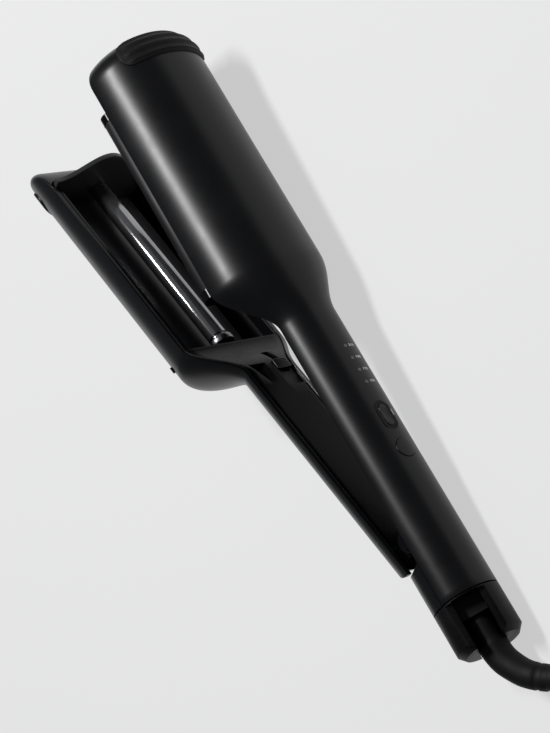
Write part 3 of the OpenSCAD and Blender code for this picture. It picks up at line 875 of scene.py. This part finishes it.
def ear_block(side, near, far, y0, y1, half):
    """A block on one side of the tool's axis, in the slot's direction."""
    lo, hi = sorted((side * near, side * far))
    return block((lo, y0, -half), (hi, y1, half), ears)


def tail_cap():
    """The cap with flats and a slot between its ears."""
    cap = turned("tail_ears", CAP_ROWS_R, lay, 96)
    for side in (-1, 1):
        cut(cap, ear_block(side, FLAT_X, PAST_CAP, TAIL_END - 1, FLAT_Y, FLAT_HALF))
    cut(cap, block((-PAST, TAIL_END - 1, -SLOT_HALF), (PAST, SLOT_Y, SLOT_HALF), ears))
    for side in (-1, 1):
        cut(cap, ear_block(side, CHANNEL_X, PAST_CAP, CHANNEL_Y0, CHANNEL_Y1, CHANNEL_HALF))
    cut(cap, rod_through(BOOT_WAY_R, lay((0, TAIL_END, 0)), lay((0, TAIL_Y + 1, 0))))
    soften(cap, CAP_EDGE * MM)
    smooth(cap, 30)
    return cap


def bend_relief(width):
    """The tapered boot with its collar, liners and web; width is a radius."""
    route = along(BOOT_POINTS, BOOT_STEPS)
    last = len(route) - 1
    radii = [width + BOOT_SWELL - BOOT_TAPER * i / last for i in range(last + 1)]
    for i in range(BOOT_INSIDE):
        radii[i] = width - BOOT_FIT
    for i in GROOVES:
        radii[i] -= GROOVE_DEPTH
    radii[-1] -= BOOT_END
    boot = hose("bend_relief", route, radii)
    full = width - BOOT_FIT
    collar = [(COLLAR_Y0, COLLAR_R), (COLLAR_Y0, width - COLLAR_CUT), (COLLAR_Y0 - COLLAR_CUT, full)]
    collar += [(COLLAR_Y1, full), (COLLAR_Y1, COLLAR_R)]
    sleeve = turned("sleeve", collar, lay, 48)
    cut(sleeve, rod_through(SWIVEL_WAY_R, lay((0, TAIL_Y, 0)), lay((0, TAIL_Y - 20, 0))))
    parts = [boot, sleeve]
    for side in (1, -1):
        parts.append(ear_block(side, *LINER_X, LINER_Y0, LINER_Y1, LINER_HALF))
    parts.append(block((-WEB_X, WEB_Y0, -WEB_HALF), (WEB_X, WEB_Y2, WEB_HALF), ears))
    parts.append(block((-WEB_X, WEB_Y1, STEM_CLEAR), (WEB_X, WEB_Y3, WEB_HALF), ears))
    parts.append(block((-WEB_X, WEB_Y1, -WEB_HALF), (WEB_X, WEB_Y3, -STEM_CLEAR), ears))
    boot = join(parts)
    smooth(boot, 50)
    return boot


class WAVER_OT_tail(bpy.types.Operator):
    """Adds the tail cap with its two ears, and the tapered boot"""

    bl_idname = "waver.tail"
    bl_label = "Tail"

    def execute(self, context):
        settle(tail_cap(), "tail_ears", "upper_arm", "inner_black", ["tail_cap"], "cap_black")
        boot = bend_relief(sizes().boot_width / MM / 2)
        settle(boot, "bend_relief", "upper_arm", "rubber_black", ["cord_boot"])
        return {"FINISHED"}


# ---------------- jaws
# Wall of the trough, its rounded brink, and the end wall's grid and fit
TROUGH_T = 0.6
TROUGH_Y0 = HEAD_Y0 + 0.2
IN_TROUGH = (0.0, 225.0, LOW_RIM)
BRINK = FRAME_R - 0.35
END_GRID = (64, 16)
END_HALF = FRAME_R - 0.15
END_FIT = 0.2
END_EDGE = 0.5
PAST_TIP = (0.0, 400.0, -20.0)
CREST_BASE = LOW_RIM + 3
# One side of the trough, from the brink down to the floor
TROUGH_SIDE = [(-BRINK, LOW_RIM - 1.5), (-BRINK, LOW_RIM - 0.3), (-BRINK + 0.3, LOW_RIM)]
TROUGH_SIDE += [(-TROUGH_W - 0.4, LOW_RIM), (-TROUGH_W, LOW_RIM - 0.4), (-TROUGH_W, FLOOR_Z + 8.6)]
TROUGH_SIDE += [(-TROUGH_W + 0.5, FLOOR_Z + 7.2), (-FLOOR_W, FLOOR_Z - PLATE_T)]
# The lower rod's holder: where it begins and ends along, and its foot
HOLDER_Y0, HOLDER_Y1 = HEAD_Y0 + 2.7, HEAD_Y0 + 6.1
HOLDER_R, WAIST_R = ROD_R + 1.2, ROD_R - 0.8
HOLDER_ROUND, WAIST_ROUND = 0.7, 0.1
FOOT_HALF, FOOT_H = 3, 5
LOW_ROD_END, UP_ROD_END = TROUGH_END - 0.1, NOSE_Y - 4


def rod_holder():
    """The collar, waist and foot that carry the lower rod."""
    axis = (0.0, LOW_ROD_Z)
    collar = bar("lower_rod_holder", HOLDER_R, HOLDER_Y0, HOLDER_Y1, axis, low, HOLDER_ROUND)
    waist = bar("waist", WAIST_R, HOLDER_Y1, ROD_START, axis, low, WAIST_ROUND)
    foot = block((-FOOT_HALF, HOLDER_Y0, FLOOR_Z), (FOOT_HALF, HOLDER_Y1, FLOOR_Z + FOOT_H), low)
    holder = join([collar, waist, foot])
    smooth(holder)
    return holder


def trough_walls():
    """The trough's sides, bent from one sheet."""
    section = TROUGH_SIDE + [(-x, z) for x, z in reversed(TROUGH_SIDE)]
    count = len(section) - 1

    def spot(y, u):
        x, z = section[round(u * count)]
        return low((x, y, z))

    walls = sheet_by_rows("trough_walls", count, (TROUGH_Y0, TROUGH_END), spot)
    face_from(walls, lambda c: low(IN_TROUGH), -1)
    thicken(walls, TROUGH_T)
    return walls


def wavy_wall():
    """The end wall, whose crest rises in the middle."""
    def spot(u, v):
        x = END_HALF * (2 * u - 1)
        top = CREST_BASE + CREST_H * cos(pi / 2 * x / FRAME_R) ** 2
        bottom = max(FLOOR_Z - PLATE_T, LOW_HEAD - sqrt(max(0.0, (FRAME_R - END_FIT) ** 2 - x * x)))
        return low((x, TROUGH_END, bottom + (top - bottom) * v))

    wall = sheet_of("end_wall", *END_GRID, spot)
    face_from(wall, lambda c: low(PAST_TIP))
    thicken(wall, WALL_END - TROUGH_END)
    soften(wall, END_EDGE * MM, 3)
    smooth(wall)
    return wall


class WAVER_OT_jaws(bpy.types.Operator):
    """Adds the rods with the lower holder, and the trough with its wavy end"""

    bl_idname = "waver.jaws"
    bl_label = "Jaws"

    def execute(self, context):
        rod = bar("lower_heat_rod", ROD_R, ROD_START, LOW_ROD_END, (0.0, LOW_ROD_Z), low)
        smooth(rod)
        settle(rod, "lower_heat_rod", "lower_arm", "rod_black", ["lower_rod"])
        settle(rod_holder(), "lower_rod_holder", "lower_arm", "steel", ["lower_rod_collars"], "holder_grey")
        sides = (-ROD_X, ROD_X)
        rods = join([bar("upper_heat_rods", ROD_R, ROD_START, UP_ROD_END, (x, UP_ROD_Z), lay) for x in sides])
        smooth(rods)
        # The upper rods take the darker copy of the rod coating: painted shade.
        settle(rods, "upper_heat_rods", "upper_arm", "rod_black", ["upper_rods"], "rod_shade")
        walls = trough_walls()
        # The end wall takes the lighter satin: painted sheen.
        settle(wavy_wall(), "wavy_end", "lower_arm", "inner_black", (), "wall_satin")
        smooth(walls)
        settle(walls, "trough", "lower_arm", "inner_black", ["lower_frame"])
        return {"FINISHED"}


# ---------------- pads
PAD_GRID = (90, 72)
# Shares of a pad's half length that keep its width and that round it off
PAD_STRAIGHT, PAD_ROUND = 0.78, 0.22
PAD_EDGE = 1.2
PAD_SINK = 0.1
PAD_SKIN = 0.3
RIB_H = 0.55
# The ribs fade out before the pad's ends, on this slope, and at its sides
RIB_END, RIB_FADE, RIB_SIDE = 1.12, 8, 1.0
# Half spread, where from and to over the head's edge, rise and ribs
NOSE_PAD = (radians(53), -4.5, 13.0, 0.9, 4)
TIP_PAD = (radians(51), -6.5, 6.0, 1.1, 0)
TIP_PAD_Y = 294


def on_nose(share, s, lift):
    """A point over the upper nose's rounded edge: angle share and way s."""
    turn = max(0.0, s / NOSE_C)
    r = HEAD_R - NOSE_C + (NOSE_C + lift) * cos(turn)
    y = NOSE_END - NOSE_C + (NOSE_C + lift) * sin(turn) + min(s, 0.0)
    a = pi / 2 + share
    return (r * cos(a), y, HEAD_MID + r * sin(a))


def on_drum(share, s, lift):
    """A point over the lower head's round side."""
    a = share - pi / 2
    return ((HEAD_R + lift) * cos(a), TIP_PAD_Y + s, LOW_HEAD + (HEAD_R + lift) * sin(a))


def pad_sheet(name, shape, where, frame_of):
    """A bean-shaped pad with ribs along its length."""
    spread, s0, s1, lift, ribs = shape

    def spot(u, v):
        a, b = 2 * u - 1, 2 * v - 1
        ends = max(0.0, (abs(a) - PAD_STRAIGHT) / PAD_ROUND)
        half = (s1 - s0) / 2 * sqrt(max(0.0, 1 - ends * ends))
        s = (s0 + s1) / 2 + half * b
        to_side = (1 - abs(b)) * half
        to_end = (1 - abs(a)) * spread * HEAD_R
        edge = min(1.0, to_side / PAD_EDGE, to_end / PAD_EDGE)
        rise = lift * sqrt(max(0.0, 1 - (1 - edge) ** 2)) - PAD_SINK
        wave = cos(2 * pi * ribs * (s - s0) / (s1 - s0)) if ribs else 1.0
        inner = min(1.0, max(0.0, (1 - abs(a) * RIB_END) * RIB_FADE))
        inner *= min(1.0, max(0.0, half * (1 - abs(b)) - RIB_SIDE))
        rise += RIB_H * inner * (0.5 - 0.5 * wave)
        return frame_of(where(a * spread, s, max(-PAD_SINK, rise)))

    piece = sheet_of(name, *PAD_GRID, spot)
    weld(piece)
    recalc(piece)
    thicken(piece, PAD_SKIN)
    smooth(piece, 60)
    return piece


class WAVER_OT_pads(bpy.types.Operator):
    """Adds the ribbed pad of the nose and the plain pad of the lower tip"""

    bl_idname = "waver.pads"
    bl_label = "Grip pads"

    def execute(self, context):
        pad = pad_sheet("nose_pad", NOSE_PAD, on_nose, lay)
        settle(pad, "nose_pad", "upper_arm", "rubber_black", ["upper_grip_pad"])
        pad = pad_sheet("tip_pad", TIP_PAD, on_drum, low)
        settle(pad, "tip_pad", "lower_arm", "rubber_black", ["lower_grip_pad"], "shell_black")
        return {"FINISHED"}


# ---------------- lower cover
COVER_Y0 = 32.0
COVER_T = 1.8
COVER_FIT = 0.35
COVER_COLUMNS, COVER_ROWS = 12, 12
COVER_EDGE = 0.2
UNDER_COVER = (0.0, 100.0, -60.0)
# Three-cornered pocket and the tray under it: corners at the top, height
# over the arm's edge, corners at the bottom, height
POCKET = (((-11.0, 146.5), (1.0, 146.0), (-5.0, 132.0)), 0.8)
POCKET_FLOOR = (((-9.6, 145.2), (-4.2, 145.2), (-6.4, 137.0)), -3.6)
TRAY = (((-12.2, 147.4), (2.4, 147.2), (-5.0, 129.8)), -1.2)
TRAY_FLOOR = (((-10.4, 146.4), (-2.0, 146.4), (-6.6, 134.0)), -4.6)
# Boxes about the lock: half width, from and to along, height from and to
# over the arm's edge
LOCK_X = 8.0
LOCK_TRACK = (4.8, 130, 150, -0.8, 3)
LOCK_SLOT = (2, 138.5, 150.5, -6, 2)
HOOK_WINDOW = (2, 147.5, 155, -10, 2)
LOCK_PLATE = (4.2, 140.4, 146.2, -0.7, 0.45)
LOCK_STEM = (1.7, 141, 146, -5.4, -0.6)
LOCK_TONGUE = (1.7, 145.9, 147, -5.4, -4.1)
PLATE_EDGE = 0.4
# Ribs of the lock: first place, pitch and width, then half width and heights
LOCK_RIBS = 5
RIB_Y, RIB_PITCH, RIB_W = 141.3, 1.0, 0.4
RIB_HALF, RIB_Z0, RIB_Z1, RIB_EDGE = 3.4, 0.3, 0.75, 0.15


def wedge(top, bottom):
    """A three-sided solid between two triangles, for cutting or adding."""
    deselect()
    bpy.ops.mesh.primitive_cylinder_add(vertices=3, radius=1, depth=2)
    piece = bpy.context.active_object
    points = piece.data.vertices
    by_height = sorted(range(6), key=lambda i: points[i].co.z)
    for corners, (outline, height) in ((by_height[:3], bottom), (by_height[3:], top)):
        corners = sorted(corners, key=lambda i: atan2(points[i].co.y, points[i].co.x))
        for i, (x, y) in zip(corners, outline):
            points[i].co = low((x, y, LOW_EDGE + height))
    recalc(piece)
    return piece


def lock_box(half, y0, y1, z0, z1):
    """A block about the lock's line."""
    return block((LOCK_X - half, y0, LOW_EDGE + z0), (LOCK_X + half, y1, LOW_EDGE + z1), low)


def cover_point(y, share):
    """A point of the lower cover, share 0 to 1 across it."""
    u = max(0.0, (y - LOW_NECK0) / (HEAD_Y0 - LOW_NECK0))
    inset = WALL + COVER_FIT
    r = mix(GRIP_R - inset, HEAD_R - inset, u)
    z = mix(LOW_EDGE, LOW_RIM, u)
    far = abs(z - COVER_T - mix(LOW_MID, LOW_HEAD, u))
    return low((sqrt(r * r - far * far) * (2 * share - 1), y, z))


def inner_cover():
    """The cover with its pocket, and the track and window of the lock."""
    rows = steps_between(COVER_Y0, LOW_NECK0, COVER_ROWS)
    rows += steps_between(LOW_NECK0, HEAD_Y0, NECK_ROWS) + [HEAD_Y0]
    cover = sheet_by_rows("inner_cover", COVER_COLUMNS, rows, cover_point)
    face_from(cover, lambda c: low(UNDER_COVER))
    thicken(cover, COVER_T)
    cut(cover, wedge(TRAY, TRAY_FLOOR), "UNION")
    cut(cover, wedge(POCKET, POCKET_FLOOR))
    for box in (LOCK_TRACK, LOCK_SLOT, HOOK_WINDOW):
        cut(cover, lock_box(*box))
    soften(cover, COVER_EDGE * MM, angle=30)
    smooth(cover, 30)
    return cover


def slide_lock():
    """The lock's ribbed plate with its stem and tongue."""
    plate = lock_box(*LOCK_PLATE)
    soften(plate, PLATE_EDGE * MM, 3)
    parts = [plate]
    for i in range(LOCK_RIBS):
        y = RIB_Y + i * RIB_PITCH
        rib = lock_box(RIB_HALF, y, y + RIB_W, RIB_Z0, RIB_Z1)
        soften(rib, RIB_EDGE * MM)
        parts.append(rib)
    parts += [lock_box(*LOCK_STEM), lock_box(*LOCK_TONGUE)]
    lock = join(parts)
    smooth(lock)
    return lock


class WAVER_OT_lower_cover(bpy.types.Operator):
    """Adds the glossy cover of the lower arm with its pocket, and the lock"""

    bl_idname = "waver.lower_cover"
    bl_label = "Lower cover and lock"

    def execute(self, context):
        settle(inner_cover(), "inner_cover", "lower_arm", "inner_black", ["lower_cover"], "cover_black")
        settle(slide_lock(), "slide_lock", "lock_slider", "shell_black", ["lock_slider"])
        return {"FINISHED"}


# ---------------- controls
BUTTON_PROUD, BUTTON_BOTTOM = 0.3, 10.9
KEY_BOTTOM, KEY_PROUD = 11.4, 0.15
# The key's top is dished on this radius, about an axis this far over it
KEY_DISH_R, KEY_DISH_UP = 15.7, 15.5
PIVOT_Z, PIVOT_R, PIVOT_HALF = 12, 0.8, 3.4
# A cap's top by shares of its outline, then inset and drop of its edge
CAP_SHARES = (0.1, 0.3, 0.5, 0.7, 0.85)
CAP_EDGES = ((0.5, 0.0), (0.15, 0.08), (0.0, 0.25))
# Printed marks: size, place across, shift along, height to width
MARK_SIZE, MARK_X, MARK_SHIFT, MARK_TALL = 2.6, 2.0, 0.2, 0.62
TICK_SIZE, TICK_X, TICK_SHIFT, TICK_TALL = 5.0, 4.15, 0.9, 0.8
FIRST_HEAT, HEAT_STEP = 150, 20
INK_PROUD = 0.02
INK_BOLD = 0.035


def stadium(length, width, y, height, sides=64):
    """A round-ended loop across the crown, with its own height at each point."""
    out = []
    shift = (length - width) / 2
    for k in range(sides):
        a = 2 * pi * (k + 0.5) / sides
        px = width / 2 * cos(a)
        py = width / 2 * sin(a) + (shift if sin(a) > 0 else -shift)
        out.append((px, y + py, height(px, py)))
    return out


def cap_on_crown(name, length, width, y, height, bottom):
    """A button with a softened edge whose top follows height(x, y)."""
    loops = [stadium(length * k, width * k, y, height) for k in CAP_SHARES]
    for inset, drop in CAP_EDGES:
        loops.append(stadium(length - inset, width - inset, y, lambda px, py: height(px, py) - drop))
    loops.append(stadium(length, width, y, lambda px, py: bottom))
    piece = loft(name, loops, lay)
    smooth(piece, 50)
    return piece


def print_on(name, text, size, x, y, tall):
    """Printed figures that follow the crown, read across the tool."""
    deselect()
    bpy.ops.object.text_add()
    piece = bpy.context.active_object
    piece.data.body = text
    piece.data.size = size
    piece.data.offset = INK_BOLD * size
    piece.data.align_x = "LEFT"
    piece.data.align_y = "CENTER"
    bpy.ops.object.convert(target="MESH")
    piece = bpy.context.active_object
    r = GRIP_R + INK_PROUD
    for v in piece.data.vertices:
        turn = (x + v.co.x) / GRIP_R
        v.co = lay((r * sin(turn), y + tall * v.co.y, r * cos(turn)))
    piece.name = name
    return piece


def button_top(px, py):
    """Height of the power button's top, round with the handle."""
    return sqrt((GRIP_R + BUTTON_PROUD) ** 2 - px * px)


def key_top(px, py):
    """Height of the key's top, dished along its length."""
    return min(GRIP_R + KEY_PROUD, GRIP_R + KEY_DISH_UP - sqrt(KEY_DISH_R ** 2 - py * py))


class WAVER_OT_controls(bpy.types.Operator):
    """Adds the power button, the temperature key and the printed marks"""

    bl_idname = "waver.controls"
    bl_label = "Controls"

    def execute(self, context):
        width = 2 * BUTTON_R
        button = cap_on_crown("round_button", width, width, BUTTON_Y, button_top, BUTTON_BOTTOM)
        settle(button, "round_button", "power_button", "shell_black", ["power_button"])
        key = cap_on_crown("rocking_key", KEY_LEN, KEY_W, KEY_Y, key_top, KEY_BOTTOM)
        ends = [lay((x, KEY_Y, PIVOT_Z)) for x in (-PIVOT_HALF, PIVOT_HALF)]
        key = join([key, rod_through(PIVOT_R, *ends, 24)])
        settle(key, "rocking_key", "temperature_key", "shell_black", ["temperature_key"])
        marks = []
        for i in range(LAMPS):
            y = LAMP_Y + i * LAMP_PITCH + MARK_SHIFT
            marks.append(print_on("marks", str(FIRST_HEAT + HEAT_STEP * i), MARK_SIZE, MARK_X, y, MARK_TALL))
        marks.append(print_on("tick", "I", TICK_SIZE, TICK_X, KEY_Y + TICK_SHIFT, TICK_TALL))
        marks = join(marks)
        weld(marks, WELD_GAP / 4)
        settle(marks, "printed_marks", "upper_arm", "lens", (), "ink")
        return {"FINISHED"}


# ---------------- plain nodes
FINISH_OF = {
    "hinge_bracket": "dark_steel",
    "hinge_pin": "dark_steel",
    "shell_screws": "dark_steel",
    "key_bezel": "inner_black",
    "upper_frame": "cap_black",
}


class WAVER_OT_finishes(bpy.types.Operator):
    """Gives every carried-over part its own finish"""

    bl_idname = "waver.finishes"
    bl_label = "Finishes"

    def execute(self, context):
        for part in frame["record"]["subparts"]:
            finish = FINISH_OF.get(part["node"], part["material_slot"])
            for slot in frame["nodes"][part["node"]].material_slots:
                slot.link = "OBJECT"
                slot.material = MATERIALS[finish]
        return {"FINISHED"}


# ---------------- stage
CAMERA_PLACE = place((688.05, -300.6, 712.03))
CAMERA_RIGHT = (0.48592, -0.41037, -0.77167)
CAMERA_UP = (0.5707, 0.81768, -0.07547)
SENSOR, LENS, CLIP_END = 36, 117.9, 20
FLOOR_WIDTH = 8
PAPER = (0.812, 0.812, 0.815, 1.0)
# How much of the paper is its own pale colour to the eye, the rest is lit
PAPER_GLOW = 0.7
SKY = (0.93, 0.96, 1.0, 1.0)
SKY_STRENGTH = 0.13
# One long lamp: across and along, watts, place, what it looks at
LAMP_SIZE, LAMP_POWER = (0.20, 0.60), 26
LAMP_PLACE, LAMP_AIM = (0.13, 0.74, 1.50), (0.03, 0.0, 0.0)


def lamp(name, size, power, place_at, look_at):
    """Adds a rectangular lamp that looks at a point."""
    data = bpy.data.lights.new(name, "AREA")
    data.shape = "RECTANGLE"
    data.size, data.size_y = size
    data.energy = power
    light = bpy.data.objects.new(name, data)
    light.location = place_at
    light.rotation_euler = (Vector(look_at) - Vector(place_at)).to_track_quat("-Z", "Y").to_euler()
    bpy.context.scene.collection.objects.link(light)


def floor_paper():
    """Pale paper that glows a little to the eye, so that shadows stay light."""
    t = Tree("floor_paper")
    fine = t.noise(t.place(), scale=400.0)
    t.finish(Base_Color=PAPER, Roughness=0.9, Normal=t.bump(fine, 0.02, 0.0002), Specular_IOR_Level=0.1)
    ray = t.nodes.new("ShaderNodeLightPath")
    seen = Value(t, ray.outputs["Is Camera Ray"]) + Value(t, ray.outputs["Is Glossy Ray"])
    seen = seen + Value(t, ray.outputs["Is Transmission Ray"])
    glow = t.node("ShaderNodeEmission", {}, {"Color": PAPER, "Strength": 1.0})
    lit = Value(t, t.shader.outputs[0])
    both = t.node("ShaderNodeMixShader", {}, {0: seen * PAPER_GLOW, 1: lit, 2: glow})
    t.set(t.nodes["Material Output"], "Surface", both)
    return t.material


def add_camera(scene):
    """The camera, from its place and the two directions of its picture."""
    data = bpy.data.cameras.new("view")
    data.sensor_width = SENSOR
    data.lens = LENS
    data.clip_end = CLIP_END
    camera = bpy.data.objects.new("view", data)
    right, up = Vector(CAMERA_RIGHT).normalized(), Vector(CAMERA_UP)
    up = (up - right * up.dot(right)).normalized()
    turn = Matrix((right, up, right.cross(up))).transposed().to_4x4()
    camera.matrix_world = Matrix.Translation(CAMERA_PLACE) @ turn
    scene.collection.objects.link(camera)
    scene.camera = camera


class WAVER_OT_stage(bpy.types.Operator):
    """Adds the camera, the lamp, the world and the floor"""

    bl_idname = "waver.stage"
    bl_label = "Stage"

    def execute(self, context):
        scene = context.scene
        scene.view_settings.view_transform = "Standard"
        add_camera(scene)
        deselect()
        bpy.ops.mesh.primitive_plane_add(size=FLOOR_WIDTH)
        floor = context.active_object
        floor.name = "floor"
        floor.data.materials.append(floor_paper())
        world = bpy.data.worlds.new("studio")
        scene.world = world
        world.use_nodes = True
        sky = world.node_tree.nodes["Background"]
        sky.inputs["Color"].default_value = SKY
        sky.inputs["Strength"].default_value = SKY_STRENGTH
        lamp("key", LAMP_SIZE, LAMP_POWER, LAMP_PLACE, LAMP_AIM)
        deselect()
        return {"FINISHED"}


class WAVER_PT_parts(bpy.types.Panel):
    """Lists the steps and the sizes"""

    bl_label = "Hair Waver"
    bl_idname = "WAVER_PT_parts"
    bl_space_type = "VIEW_3D"
    bl_region_type = "UI"
    bl_category = "Hair Waver"

    def draw(self, context):
        layout = self.layout
        for group in (context.scene.waver_sizes, context.scene.waver_looks):
            box = layout.box()
            for key in group.__annotations__:
                box.prop(group, key)
        for step in STEPS:
            layout.operator(step.bl_idname)


STEPS = (
    WAVER_OT_stage,
    WAVER_OT_cord,
    WAVER_OT_finishes,
    WAVER_OT_upper_housing,
    WAVER_OT_lower_housing,
    WAVER_OT_tail,
    WAVER_OT_jaws,
    WAVER_OT_pads,
    WAVER_OT_lower_cover,
    WAVER_OT_controls,
)
CLASSES = (WaverSizes, WaverLooks) + STEPS + (WAVER_PT_parts,)


def register():
    """Registers the classes and adds their settings to the scene."""
    for c in CLASSES:
        bpy.utils.register_class(c)
    bpy.types.Scene.waver_sizes = PointerProperty(type=WaverSizes)
    bpy.types.Scene.waver_looks = PointerProperty(type=WaverLooks)


def unregister():
    """Takes the settings and the classes away again."""
    del bpy.types.Scene.waver_looks
    del bpy.types.Scene.waver_sizes
    for c in reversed(CLASSES):
        bpy.utils.unregister_class(c)


def main():
    """Runs every step in order."""
    register()
    deselect()
    make_materials()
    for step in STEPS:
        group, name = step.bl_idname.split(".")
        getattr(getattr(bpy.ops, group), name)()


if __name__ == "__main__":
    main()
